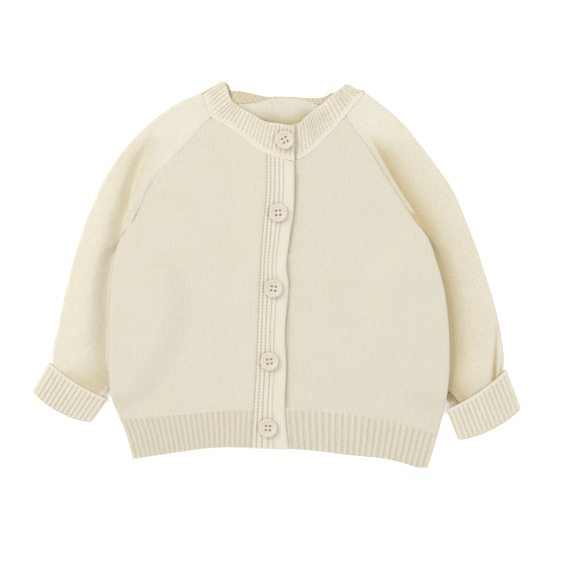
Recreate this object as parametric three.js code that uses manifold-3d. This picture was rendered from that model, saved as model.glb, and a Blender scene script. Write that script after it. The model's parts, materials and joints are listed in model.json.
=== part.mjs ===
// Baby cardigan in fine knit, laid flat with its front up: two fronts, a back, raglan sleeves,
// ribbed hem bands, turned-back ribbed cuffs, a ribbed neckband, two button bands and five buttons.
// Millimetres. X runs to the viewer's right, Y towards the neck and Z up from the surface it lies on.
// The origin is the middle of the footprint on that surface.
import * as THREE from "three";
import { mergeVertices } from "three/addons/utils/BufferGeometryUtils.js";
import Module from "manifold-3d";

// Cloth and how it is stacked
const WALL = 1.6; // plain knit
const RIB_WALL = 1.4; // ribbed knit between its ribs
const RIB_RISE = 0.9; // height of a rib over that
const SEAM_GAP = 0.3; // room between two pieces that are sewn together
const LAYER_GAP = 0.4; // room between two layers that lie on each other
const LAYER = WALL + LAYER_GAP;
const EDGE_INSET = 0.24; // an edge of a body piece stays back this much from its seam line
const END_INSET = SEAM_GAP / 2; // and an end of one this much
const OVERLAP_LIFT = 2.6; // the left front rises this much onto the right one's button band
const TUCK_LIFT = 6; // the body rises this much onto a sleeve tucked under it
const BAND_LIFT = 2.1; // the back rises this much onto the neckband folded behind it
const TUCK_SLOPE = 30; // length over which the body comes down beside a sleeve
const TUCK_FADE_TOP = -106; // that lift fades out between these heights, above the hem
const TUCK_FADE_BOTTOM = -130;
const BAND_SLOPE = 10;
const OVERLAP_SLOPE = 13;
const TUCK_MARGIN = 8; // the body is at its full height this far around a tucked sleeve
const BAND_MARGIN = 2; // and the back this far around the folded neckband

// Ribs
const HEM_RIBS = 24; // on each front
const NECK_RIB_PITCH = 4.3;
const CUFF_RIBS = 14;
const HEM_ROWS = 2;
const HEM_TOP = -126; // the hem's mean top and bottom
const HEM_BOTTOM = -160;
const HEM_BACK_SPANS = 20;

// Turned-back cuffs
const CUFF_WALL = 1.4;
const CUFF_TURN = 1; // half the distance between the cuff's inner and turned-back walls
const CUFF_INNER_HALF = 0.95; // half the distance between upper and lower inner walls
const CUFF_START = 0.14; // where the inner wall starts, as a share of the cuff's depth
const CUFF_TURN_START = 0.92; // and where it starts to turn over at the wrist
const CUFF_FLATNESS = 8; // power of its rounded cross-section: more is flatter

// Buttons
const BUTTON_RADIUS = 8.3;
const BUTTON_HEIGHT = 3.2;
const BUTTON_SIDES = 16;
const BUTTON_HOLE_RADIUS = 1;
const BUTTON_HOLE_SIDES = 6;
const BUTTON_HOLE_SPACING = 3.6;
const BUTTON_SEAT = 0.5; // room between a button and the band under it

const columns = (names, rows) =>
  rows.map((row) => Object.fromEntries(names.map((name, i) => [name, row[i]])));

// Outline of the body, from the neck corner of the raglan seam down to the hem
const FRONT_EDGE_LEFT = columns(["y", "x"], [
  [140.1, -59.3], [126, -71.5], [109.8, -86], [79.2, -113.9], [52.2, -126.5], [29.7, -140],
  [20.7, -143.6], [-5.4, -148.1], [-28.8, -149.7], [-78.3, -150.3], [-101.7, -149.7],
  [-117.9, -146.3], [-134.1, -140], [-147.6, -134.8], [-168, -129.2],
]);
const FRONT_EDGE_RIGHT = columns(["y", "x"], [
  [141.3, 62.9], [125.6, 73.8], [117.6, 80.1], [88.2, 98], [65.7, 112.5], [45.9, 126], [30.6, 136.4],
  [7.7, 144.5], [-15.3, 150.6], [-38.7, 153.8], [-62.1, 155.2], [-84.6, 155.2], [-111.6, 152.8],
  [-127.8, 149.6], [-147.6, 144.5], [-176, 136],
]);
const BACK_EDGE_LEFT = columns(["y", "x"], [
  [151.2, -49.1], [133, -64.5], [112, -83], [79.2, -113.9], [52.2, -126.5], [29.7, -140],
]);
const BACK_EDGE_RIGHT = columns(["y", "x"], [
  [149.4, 55.4], [136, 67], [119, 79], [88.2, 98], [65.7, 112.5], [45.9, 126], [30.6, 136.4],
]);

// Seam of the neckband on the fronts and on the back
const NECK_SEAM_LEFT = columns(["x", "y"], [
  [-59.3, 140.1], [-45.1, 132.5], [-29.9, 121.5], [-16.7, 110.7], [-1.5, 104.1], [15.9, 99.9],
]);
const NECK_SEAM_RIGHT = columns(["x", "y"], [
  [-9, 105.5], [17.6, 102], [31.1, 108.5], [42.1, 119.4], [53.1, 130.3], [62.9, 141.3],
]);
const NECK_SEAM_BACK = columns(["x", "y"], [
  [-49.1, 151.2], [-39.2, 152.1], [-23.3, 152.9], [0, 156], [12.2, 156], [24.8, 154.4], [39.2, 151.4],
  [55.4, 149.4],
]);

// Button bands: their inner line, which is sewn to the front, and their free edge
const BAND_LINE = columns(["y", "x"], [
  [108, -8.6], [73.8, -8.9], [36.9, -12.3], [-15.3, -15.4], [-63.9, -17.2], [-99.9, -19], [-160, -23],
]);
const BAND_EDGE = columns(["y", "x"], [
  [108, 15.9], [61.2, 15.8], [33.3, 12.2], [6.3, 8.9], [-9.5, 10.8], [-31.5, 9.4], [-51.3, 7.7],
  [-87.3, 8.7], [-124.2, 7.6], [-160, 11.2],
]);

// Hem: the line where its ribs start, and its lower edge
const HEM_LINE = columns(["x", "y"], [
  [-142, -131.5], [-108.5, -128.3], [-57.2, -123.7], [-25.7, -121.5], [11, -121.7], [57.2, -124.7],
  [105.8, -134.4], [145, -146.5],
]);
const HEM_EDGE = columns(["x", "y"], [
  [-130, -167.4], [-100.4, -162.9], [-57.2, -157.4], [-15.8, -157.2], [32.4, -159.8], [59.9, -163.2],
  [95.9, -166.8], [110.3, -169.8], [126, -174.6], [137, -175.2],
]);

// Sleeves, a row for each section: inner edge of the top layer, outer fold, inner edge of the bottom
// layer, distance to the crest beside the body, radius of the fold, then the heights of the crest, the
// valley beside it, the crown and the bottom layer, and how far the section bows towards the wrist.
// A crest of 0 means that the body covers the section's inner end.
const NO_CREST = 0;
const SLEEVE_COLUMNS = [
  "inX", "inY", "outX", "outY", "backX", "backY", "crest", "turn", "top", "dip", "crown", "base", "bow",
];
const SLEEVE_LEFT = columns(SLEEVE_COLUMNS, [
  [-59.3, 140.1, -67.5, 160.9, -49.1, 151.2, 8, 1, 2.8, 2.8, 2.9, 0.8, 0],
  [-71.5, 126, -91.4, 151.2, -64.5, 133, 12, 1.4, 3.1, 3.2, 3.4, 0.8, 0],
  [-86, 109.8, -115.7, 133.2, -83, 112, 13, 1.8, 3.9, 3.9, 4.3, 0.8, 0],
  [-100, 94.5, -136.4, 112.1, -98.5, 95.5, 13, 2.1, 4.5, 4.1, 5.6, 0.8, 0],
  [-113.9, 79.2, -152.6, 88.2, -114.1, 79.2, 10.4, 2.5, 4.9, 3.8, 7.2, 0.8, 0],
  [-121.1, 64, -163.4, 65.7, -121.6, 64, 9, 2.5, 5, 3.5, 8.2, 0.8, 0],
  [-130.6, 45, -171.5, 45.9, -130.6, 45, 5.5, 2.5, 4.6, 3.2, 8.2, 0.8, 0],
  [-139.7, 29.7, -177.8, 27, -139.7, 29.7, 1, 2.5, 3.6, 3, 8.2, 0.8, 0],
  [-138, 27, -179, 23.5, -138, 27, 1, 2.5, 3.4, 3, 8.2, 0.8, 0],
  [-138.6, 24, -180.2, 20, -138.6, 24, 1, 2.5, 3.4, 2.8, 8.2, 0.8, 0],
  [-141.5, 16.5, -182.4, 12, -141.5, 16.5, 0, 2.5, 3.4, 2.8, 8.2, 0.8, 0],
  [-126, 5, -185.6, -1, -126, 5, 0, 2.5, 4.3, 2.8, 8.2, 0.8, 0],
  [-113, -11, -189.6, -17, -113, -11, 0, 2.5, 4.3, 2.8, 8.2, 0.8, 0],
  [-110, -31, -193.5, -35.1, -110, -31, 0, 2.5, 4.3, 2.8, 8.2, 0.8, 0],
  [-116, -50, -196.4, -50, -116, -50, 0, 2.5, 4.3, 2.8, 8.2, 0.8, 0],
  [-124, -67, -198.8, -59.5, -124, -67, 0, 2.5, 4.3, 2.8, 7.8, 0.8, 0],
  [-133, -83, -200.4, -66, -133, -83, 0, 2.3, 4.3, 2.8, 7.4, 0.8, 0],
  [-143, -96, -201.3, -71.5, -143, -96, 0, 2.1, 2.7, 2.8, 6.8, 0.8, 1],
  [-151.3, -105.6, -201.6, -76, -151.3, -105.6, 0, 1.8, 2.7, 2.8, 6, 0.8, 2],
  [-156, -110.4, -200.8, -82.3, -156, -110.4, 0, 0.97, 4.5, 4.5, 4.6, 2.65, 3],
  [-158, -113.2, -202.4, -85.4, -158, -113.2, 0, 0.97, 4.5, 4.5, 4.6, 2.65, 3],
]);
const SLEEVE_RIGHT = columns(SLEEVE_COLUMNS, [
  [62.9, 141.3, 80.4, 162, 55.4, 149.4, 6, 1, 2.8, 2.8, 2.9, 0.8, 0],
  [71, 129.5, 98, 148.5, 67, 136, 6, 1.5, 3.1, 3.2, 3.8, 0.8, 0],
  [80.1, 117.6, 114.8, 133.2, 79, 119, 4.4, 1.8, 3.7, 3.6, 5, 0.8, 0],
  [89, 103.5, 129.2, 115.2, 88.4, 104.2, 3.6, 2.1, 4.3, 3.7, 6.2, 0.8, 0],
  [98, 88.2, 142.7, 97.2, 98, 88.2, 3.2, 2.5, 4.6, 3.5, 7.5, 0.8, 0],
  [108, 72.5, 155.3, 79.2, 108, 72.5, 3, 2.5, 4.4, 3.3, 8.2, 0.8, 0],
  [119.2, 56, 164.3, 61.2, 119.2, 56, 2.8, 2.5, 4.2, 3.1, 8.2, 0.8, 0],
  [128, 43, 171.5, 43.2, 128, 43, 2.6, 2.5, 3.8, 3, 8.2, 0.8, 0],
  [136.1, 30.6, 177, 29, 136.1, 30.6, 1, 2.5, 3.6, 3, 8.2, 0.8, 0],
  [134.8, 27.2, 178.8, 24.6, 134.8, 27.2, 1, 2.5, 3.4, 3, 8.2, 0.8, 0],
  [135.8, 24, 180.2, 20.5, 135.8, 24, 1, 2.5, 3.4, 2.8, 8.2, 0.8, 0],
  [139.5, 16, 182.6, 13, 139.5, 16, 0, 2.5, 3.4, 2.8, 8.2, 0.8, 0],
  [124, 4, 186, 2.5, 124, 4, 0, 2.5, 4.3, 2.8, 8.2, 0.8, 0],
  [112, -12, 190.8, -12, 112, -12, 0, 2.5, 4.3, 2.8, 8.2, 0.8, 0],
  [109, -32, 195.8, -29, 109, -32, 0, 2.5, 4.3, 2.8, 8.2, 0.8, 0],
  [115, -52, 199.8, -46, 115, -52, 0, 2.5, 4.3, 2.8, 8.2, 0.8, 0],
  [124, -72, 202.2, -60, 124, -72, 0, 2.5, 4.3, 2.8, 7.8, 0.8, 0],
  [134, -90, 203.5, -68.5, 134, -90, 0, 2.3, 4.3, 2.8, 7.4, 0.8, 0],
  [145.5, -104, 204.2, -74.5, 145.5, -104, 0, 2.1, 2.7, 2.8, 6.8, 0.8, 1],
  [153.7, -114, 204.7, -80.5, 153.7, -114, 0, 1.8, 2.7, 2.8, 6, 0.8, 2],
  [157.3, -119.6, 203.1, -89, 157.3, -119.6, 0, 0.97, 4.5, 4.5, 4.6, 2.65, 3],
  [158.6, -122.9, 204.1, -92.4, 158.6, -122.9, 0, 0.97, 4.5, 4.5, 4.6, 2.65, 3],
]);
const VALLEY_WIDTH = 4; // the sleeve stays low this far out from the body's edge
const CROWN_SHARE = 0.42; // place of the crown between the valley and the outer fold

// Cuffs: corners of the turned-back part, and how far its two edges bow towards the wrist
const CUFF_LEFT = {
  armOuter: [-204.8, -80.4], armInner: [-152, -113.4],
  wristOuter: [-219.6, -105.6], wristInner: [-166.5, -134],
  armBow: 3, wristBow: 5.5,
};
const CUFF_RIGHT = {
  armOuter: [207, -87], armInner: [153.2, -123],
  wristOuter: [220.3, -121.5], wristInner: [163.5, -150],
  armBow: 3, wristBow: 5,
};

// Neckband, a row for each section from the left front's end over both shoulders to the right one's
// end: its seam, where it turns over behind the neck, and its free edge. lay tells what it lies on.
const NECKBAND = columns(["seamX", "seamY", "foldX", "foldY", "freeX", "freeY", "lay"], [
  [15.9, 100.2, 15.9, 116, 15.9, 131.4, "upper"],
  [-1.5, 104.4, 0.8, 119, 3, 133.9, "upper"],
  [-16.7, 111, -13.5, 123.5, -10, 136, "upper"],
  [-29.9, 121.8, -25.5, 132, -21, 142.3, "upper"],
  [-44.9, 132.8, -39, 141, -33, 149.3, "upper"],
  [-58.6, 140.5, -49.5, 148, -40.5, 155.5, "upper"],
  [-62.9, 151, -54, 158.5, -44.6, 166, "upper"],
  [-65.5, 157.7, -56, 164.5, -46, 171.2, "upper"],
  [-65.7, 161.6, -56.5, 167.3, -46.9, 173.2, "turn"],
  [-63.5, 161.4, -55, 166.2, -45.4, 171.4, "floor"],
  [-56.2, 155.9, -49.8, 162.3, -43, 168.4, "floor"],
  [-48.8, 151.9, -41.7, 163.5, -38.4, 157.5, "folded"],
  [-39.2, 152.6, -32, 163, -28.5, 155, "folded"],
  [-23.3, 153.4, -18, 160.2, -14, 148.5, "folded"],
  [-10.4, 155, -8.5, 157.9, -6, 139.5, "folded"],
  [0, 156.5, 0, 158, 0, 137, "folded"],
  [12.2, 156.5, 12.2, 157.8, 12.5, 136.8, "folded"],
  [24.8, 154.9, 24.6, 156.9, 22.5, 137.5, "folded"],
  [39.2, 151.9, 37.5, 157.2, 33.5, 143, "folded"],
  [47, 150.9, 45.5, 159.5, 41.5, 150, "folded"],
  [55.1, 150.1, 51.5, 162, 48.5, 156.5, "folded"],
  [66.3, 155.8, 60.8, 160.8, 55.5, 165, "floor"],
  [77.3, 162.2, 69, 165.2, 60.9, 168.9, "floor"],
  [78.6, 162.3, 70.5, 166.5, 62.4, 170.6, "turn"],
  [77.4, 159.6, 69, 164, 60.6, 168.4, "lower"],
  [71.3, 152.6, 64, 159, 56.6, 165.4, "lower"],
  [62.2, 142, 56.5, 151.5, 50.9, 160.9, "lower"],
  [52.9, 130.7, 47, 141.8, 41.5, 152.5, "lower"],
  [41.9, 119.8, 37.5, 133, 33, 146, "lower"],
  [30.9, 109.2, 28.5, 124.5, 25.7, 140.1, "lower"],
  [17.6, 102.7, 17.4, 118, 17.1, 133.7, "lower"],
  [-8, 106, -7.5, 119.5, -7, 133, "lower"],
]);

const BUTTONS = columns(["x", "y", "turn"], [
  [7.5, 119.3, 0.52], [1.5, 54, 0.06], [-2.7, -13.9, -0.12], [-6.3, -79.4, 0.1], [-7.7, -139.1, -0.05],
]);

const FLEECE = { color: 0xe3dcc9, roughness: 0.95, metalness: 0 };
const RIBBED = { color: 0xddd5c0, roughness: 0.95, metalness: 0 };
const RESIN = { color: 0xe9e0d2, roughness: 0.35, metalness: 0 };

const wasm = await Module();
wasm.setup();

// Small tools
const mix = (a, b, t) => a + (b - a) * t;
const clamp = (t) => Math.min(1, Math.max(0, t));
const ease = (t) => clamp(t) ** 2 * (3 - 2 * clamp(t));
const steps = (n) => Array.from({ length: n + 1 }, (_, i) => i / n);

// A smooth line through a table, from one of its columns to another
function lineThrough(table, from, to) {
  const rows = [...table].sort((a, b) => a[from] - b[from]);
  const slope = (i, j) => (rows[j][to] - rows[i][to]) / (rows[j][from] - rows[i][from]);
  const last = rows.length - 1;
  const slopes = rows.map((_, i) => slope(Math.max(0, i - 1), Math.min(last, i + 1)));
  return (value) => {
    if (value <= rows[0][from]) return rows[0][to] + slopes[0] * (value - rows[0][from]);
    if (value >= rows[last][from]) return rows[last][to] + slopes[last] * (value - rows[last][from]);
    const i = rows.findIndex((row) => row[from] > value) - 1;
    const width = rows[i + 1][from] - rows[i][from];
    const t = (value - rows[i][from]) / width;
    const start = rows[i][to] * (1 + 2 * t) * (1 - t) ** 2 + slopes[i] * width * t * (1 - t) ** 2;
    return start + rows[i + 1][to] * t * t * (3 - 2 * t) - slopes[i + 1] * width * t * t * (1 - t);
  };
}

// How far a point lies inside an outline; it is negative outside
function depthInside(outline, x, y) {
  let nearest = Infinity;
  let inside = false;
  outline.forEach(([ax, ay], i) => {
    const [bx, by] = outline[(i + 1) % outline.length];
    const t = clamp(((x - ax) * (bx - ax) + (y - ay) * (by - ay)) / ((bx - ax) ** 2 + (by - ay) ** 2));
    nearest = Math.min(nearest, Math.hypot(x - mix(ax, bx, t), y - mix(ay, by, t)));
    if (ay > y !== by > y && x < ax + ((y - ay) * (bx - ax)) / (by - ay)) inside = !inside;
  });
  return inside ? nearest : -nearest;
}

// What the body lies on: the tucked part of each sleeve, and the neckband folded behind the neck
const tuckedRows = (rows) => rows.filter((row) => row.crest === NO_CREST);
const SLEEVE_REACH = 45; // how far outwards the tucked part is taken to go
const TUCK_TOP = 3; // and how far above its first row
function tuckOutline(rows, side) {
  const inner = tuckedRows(rows).map((row) => [row.inX, row.inY]);
  const [firstX, firstY] = inner[0];
  const [lastX, lastY] = inner[inner.length - 1];
  const outer = [[lastX + side * SLEEVE_REACH, lastY], [firstX + side * SLEEVE_REACH, firstY]];
  return [...inner, ...outer, [firstX, firstY + TUCK_TOP]];
}
const TUCKS = [tuckOutline(SLEEVE_LEFT, -1), tuckOutline(SLEEVE_RIGHT, 1)];
const foldedBand = NECKBAND.filter((row) => row.lay === "folded");
const FOLDED_OUTLINE = [
  ...foldedBand.map((row) => [row.foldX, row.foldY]),
  ...foldedBand.map((row) => [row.freeX, row.freeY]).reverse(),
];

const frontLeft = lineThrough(FRONT_EDGE_LEFT, "y", "x");
const frontRight = lineThrough(FRONT_EDGE_RIGHT, "y", "x");
const bandLine = lineThrough(BAND_LINE, "y", "x");
const bandEdge = lineThrough(BAND_EDGE, "y", "x");
const neckLeft = lineThrough(NECK_SEAM_LEFT, "x", "y");
const neckRight = lineThrough(NECK_SEAM_RIGHT, "x", "y");
const neckBack = lineThrough(NECK_SEAM_BACK, "x", "y");
const hemLine = lineThrough(HEM_LINE, "x", "y");
const hemEdge = lineThrough(HEM_EDGE, "x", "y");

const cover = (outline, x, y, margin, slope) => ease(1 + (depthInside(outline, x, y) + margin) / slope);
const bandUnder = (x, y) => BAND_LIFT * cover(FOLDED_OUTLINE, x, y, BAND_MARGIN, BAND_SLOPE);
const tuckCover = (tuck, x, y) => cover(tuck, x, y, TUCK_MARGIN, TUCK_SLOPE);
const tuckFade = (y) => ease((y - TUCK_FADE_BOTTOM) / (TUCK_FADE_TOP - TUCK_FADE_BOTTOM));
const tuckMost = (x, y) => Math.max(...TUCKS.map((tuck) => tuckCover(tuck, x, y)));
const tuckUnder = (x, y) => TUCK_LIFT * tuckFade(y) * tuckMost(x, y);
// Underside of the back, of the right front and of the left front, which laps over the right one
const backUnder = (x, y) => tuckUnder(x, y) + bandUnder(x, y);
const lowerUnder = (x, y) => backUnder(x, y) + LAYER;
const bandTopY = BAND_LINE[0].y;
const pastBandLine = (x, y) => x - bandLine(Math.min(y, bandTopY));
const upperUnder = (x, y) =>
  lowerUnder(x, y) + OVERLAP_LIFT * ease(1 + pastBandLine(x, y) / OVERLAP_SLOPE);

// A closed wall from a grid of point pairs: the face that shows and the face behind it
function wallSolid(grid, { round = false } = {}) {
  const across = grid[0].length;
  const points = [];
  for (const face of ["show", "behind"]) {
    for (const row of grid) {
      for (const pair of row) points.push(pair[face][0], pair[face][1], Math.max(0, pair[face][2]));
    }
  }
  const count = grid.length * across;
  const at = (face, i, j) => face * count + i * across + (j % across);
  const faces = [];
  // Both layers of a pair are cut along the same diagonal, so that they stay clear of each other
  const along = (i) => points[i * 3] + points[i * 3 + 1];
  const quad = (a, b, c, d) => {
    const ends = [along(a), along(c)];
    const others = [along(b), along(d)];
    if (Math.min(...ends) < Math.min(...others)) faces.push(a, b, c, a, c, d);
    else faces.push(a, b, d, b, c, d);
  };
  const spans = round ? across : across - 1;
  for (let i = 0; i < grid.length - 1; i++) {
    for (let j = 0; j < spans; j++) {
      quad(at(0, i, j), at(0, i, j + 1), at(0, i + 1, j + 1), at(0, i + 1, j));
      quad(at(1, i, j), at(1, i + 1, j), at(1, i + 1, j + 1), at(1, i, j + 1));
    }
    if (!round) {
      quad(at(0, i, 0), at(0, i + 1, 0), at(1, i + 1, 0), at(1, i, 0));
      quad(at(0, i, spans), at(1, i, spans), at(1, i + 1, spans), at(0, i + 1, spans));
    }
  }
  const end = grid.length - 1;
  for (let j = 0; j < spans; j++) {
    quad(at(0, 0, j), at(1, 0, j), at(1, 0, j + 1), at(0, 0, j + 1));
    quad(at(0, end, j), at(0, end, j + 1), at(1, end, j + 1), at(1, end, j));
  }
  const vertex = (i) => new THREE.Vector3().fromArray(points, i * 3);
  let volume = 0;
  for (let i = 0; i < faces.length; i += 3) {
    volume += vertex(faces[i]).dot(vertex(faces[i + 1]).cross(vertex(faces[i + 2])));
  }
  if (volume < 0) faces.reverse();
  const geometry = new THREE.BufferGeometry();
  geometry.setAttribute("position", new THREE.Float32BufferAttribute(points, 3));
  geometry.setIndex(faces);
  return geometry;
}

const garment = new THREE.Group();
garment.name = "baby cardigan";
function add(name, geometry, finish) {
  const mesh = new THREE.Mesh(geometry, new THREE.MeshStandardMaterial(finish));
  mesh.name = name;
  garment.add(mesh);
  return mesh;
}

// A laid piece: each row runs across it between two edges, and its ends follow two lines. across
// gives the places along a row, from the width that the row has.
const LINE_PASSES = 4; // a row's place and its edges depend on each other, and settle in this many
function laidPiece({ heights, across, left, right, top, bottom, under, thick }) {
  const first = heights[0];
  const last = heights[heights.length - 1];
  const places = across(1).length;
  return wallSolid(heights.map((y) => steps(places - 1).map((_, j) => {
    const nearTop = top ? 1 - clamp((first - y) / top.reach) : 0;
    const nearBottom = bottom ? 1 - clamp((y - last) / bottom.reach) : 0;
    let x = 0;
    let yy = y;
    for (let pass = 0; pass < LINE_PASSES; pass++) {
      x = mix(left(yy), right(yy), across(Math.abs(right(yy) - left(yy)))[j]);
      yy = y;
      if (top) yy = mix(yy, top.line(x), nearTop);
      if (bottom) yy = mix(yy, bottom.line(x), nearBottom);
    }
    const z = under(x, yy);
    return { show: [x, yy, z + thick(j)], behind: [x, yy, z] };
  })));
}

const plain = () => WALL;
const rib = (j) => RIB_WALL + (j % 2 ? RIB_RISE : 0);

// Body panels
const BODY_HEIGHTS = [52, 38, 28, 19, 8, -8, -28, -50, -72, -88, -101, -114];
const FRONT_LEFT_HEIGHTS = [138.5, 130, 121, 114, 109.5, 106.5, 96, 82, 67, ...BODY_HEIGHTS, -127];
const FRONT_RIGHT_HEIGHTS = [
  139.5, 130, 121, 113, 107.5, 104, 101, 92, 82, 67, ...BODY_HEIGHTS, -127,
];
const BACK_HEIGHTS = [151, 147, 143, 139, 135, 131, 127, 122, 112, 96, 74, ...BODY_HEIGHTS, -127];
const FROM_SIDE = [0, 5, 11, 18, 25, 32, 40, 48, 58, 70, 88, 108]; // places along a row, from the side
const FULL_FRONT = 128; // the width down to which a front keeps its places, as a back does
const frontPlaces = (width) => [...FROM_SIDE.map((d) => d / Math.max(width, FULL_FRONT)), 1];
const FULL_BACK = 280;
const backPlaces = (width) => {
  const half = FROM_SIDE.map((d) => d / Math.max(width, FULL_BACK));
  return [...half, 0.5, ...half.map((share) => 1 - share).reverse()];
};
const BODY_HEM_REACH = 70; // the rows bend to the hem's line over this length
const HEM_BLEND = { line: (x) => hemLine(x) + EDGE_INSET, reach: BODY_HEM_REACH };
// The neck seam as a line from height to place, between the shoulder and the button band
function neckInner(seam, shoulder, corner) {
  const points = steps(8).map((t) => mix(shoulder, corner, t));
  return lineThrough(points.map((x) => ({ x, y: seam(x) })), "y", "x");
}
const NECK_CORNER_LEFT = -8.6;
const NECK_CORNER_RIGHT = 17.6;
const FRONT_HIDDEN = 2.4; // the right front runs this far under the left one's edge
const buttonBandEdge = (y) => bandEdge(y) - FRONT_HIDDEN;
const neckSeamLeft = neckInner(neckLeft, FRONT_EDGE_LEFT[0].x, NECK_CORNER_LEFT);
const neckSeamRight = neckInner(neckRight, FRONT_EDGE_RIGHT[0].x, NECK_CORNER_RIGHT);
const neckInnerLeft = (y) =>
  y > neckLeft(NECK_CORNER_LEFT) ? Math.min(neckSeamLeft(y), bandLine(bandTopY)) : bandLine(y);
const neckInnerRight = (y) =>
  y > neckRight(NECK_CORNER_RIGHT) ? Math.max(neckSeamRight(y), buttonBandEdge(y)) : buttonBandEdge(y);
add("front_left", laidPiece({
  heights: FRONT_LEFT_HEIGHTS,
  across: frontPlaces,
  left: (y) => frontLeft(y) + EDGE_INSET,
  right: (y) => neckInnerLeft(y) - EDGE_INSET,
  bottom: HEM_BLEND,
  under: upperUnder,
  thick: plain,
}), FLEECE);
add("front_right", laidPiece({
  heights: FRONT_RIGHT_HEIGHTS,
  across: frontPlaces,
  left: (y) => frontRight(y) - EDGE_INSET,
  right: (y) => neckInnerRight(y) + EDGE_INSET,
  bottom: HEM_BLEND,
  under: lowerUnder,
  thick: plain,
}), FLEECE);

const backLeft = lineThrough([...BACK_EDGE_LEFT, ...FRONT_EDGE_LEFT.slice(6)], "y", "x");
const backRight = lineThrough([...BACK_EDGE_RIGHT, ...FRONT_EDGE_RIGHT.slice(7)], "y", "x");
const BACK_NECK_REACH = 14; // the back's rows bend to its neck seam over this length
add("back", laidPiece({
  heights: BACK_HEIGHTS,
  across: backPlaces,
  left: (y) => backLeft(y) + EDGE_INSET,
  right: (y) => backRight(y) - EDGE_INSET,
  top: { line: (x) => neckBack(x) - END_INSET, reach: BACK_NECK_REACH },
  bottom: HEM_BLEND,
  under: backUnder,
  thick: plain,
}), FLEECE);

// Hem bands: the fronts' are ribbed on top, and the back's lies flat on the surface
const HEM_DEPTH = HEM_TOP - HEM_BOTTOM;
function hemBand(name, left, right, under, ribbed) {
  add(name, laidPiece({
    heights: steps(HEM_ROWS).map((t) => mix(HEM_TOP, HEM_BOTTOM, t)),
    across: () => steps(ribbed ? 2 * HEM_RIBS : HEM_BACK_SPANS),
    left,
    right,
    top: { line: (x) => hemLine(x) - EDGE_INSET, reach: HEM_DEPTH },
    bottom: { line: hemEdge, reach: HEM_DEPTH },
    under,
    thick: ribbed ? rib : () => RIB_WALL,
  }), RIBBED);
}
const inside = (line) => (y) => line(y) + EDGE_INSET;
const outside = (line) => (y) => line(y) - EDGE_INSET;
hemBand("hem_front_left", inside(frontLeft), outside(bandLine), upperUnder, true);
hemBand("hem_front_right", outside(frontRight), inside(buttonBandEdge), lowerUnder, true);
hemBand("hem_back", inside(backLeft), outside(backRight), backUnder, false);

// Button bands: the upper one has four ribs beside its seam and a plain edge
const BAND_PROFILE = columns(["share", "rise"], [
  [0, 0], [0.07, RIB_RISE], [0.14, 0], [0.215, RIB_RISE], [0.29, 0], [0.37, RIB_RISE], [0.455, 0],
  [0.525, RIB_RISE], [0.595, 0], [0.7, RIB_RISE], [0.93, RIB_RISE], [1, 0.2],
]);
const BAND_HEIGHTS = [103, 92, 78, 60, 45, 30, 15, 0, -12, -30, -50, -70, -88, -106, -122, -140, -158];
const BAND_TOP_REACH = 26;
const BAND_END_REACH = 30;
const bandTop = (seam) => ({ line: (x) => seam(x) - END_INSET, reach: BAND_TOP_REACH });
add("button_band_upper", laidPiece({
  heights: BAND_HEIGHTS,
  across: () => BAND_PROFILE.map((row) => row.share),
  left: (y) => bandLine(y) + EDGE_INSET,
  right: bandEdge,
  top: bandTop(neckLeft),
  bottom: { line: hemEdge, reach: BAND_END_REACH },
  under: (x, y) => lowerUnder(x, y) + OVERLAP_LIFT,
  thick: (j) => RIB_WALL + BAND_PROFILE[j].rise,
}), RIBBED);
const BAND_UNDER_WALL = 2;
const BAND_UNDER_SPANS = 4;
add("button_band_under", laidPiece({
  heights: BAND_HEIGHTS,
  across: () => steps(BAND_UNDER_SPANS),
  left: (y) => bandLine(y) + EDGE_INSET,
  right: (y) => buttonBandEdge(y) - 2 * EDGE_INSET,
  top: bandTop(neckRight),
  bottom: { line: hemEdge, reach: BAND_END_REACH },
  under: lowerUnder,
  thick: () => BAND_UNDER_WALL,
}), RIBBED);

// Distance from a sleeve section's inner edge to the body's edge that covers it
const LOOKS_ALONG = 80;
function hiddenLength(row, edge, side) {
  const length = Math.hypot(row.outX - row.inX, row.outY - row.inY);
  const at = steps(LOOKS_ALONG).map((t) => t * length);
  const covered = at.filter((s) => {
    const x = mix(row.inX, row.outX, s / length);
    const y = mix(row.inY, row.outY, s / length);
    return side * (edge(y) - x) > 0;
  });
  return covered.length ? covered[covered.length - 1] : 0;
}

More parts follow.
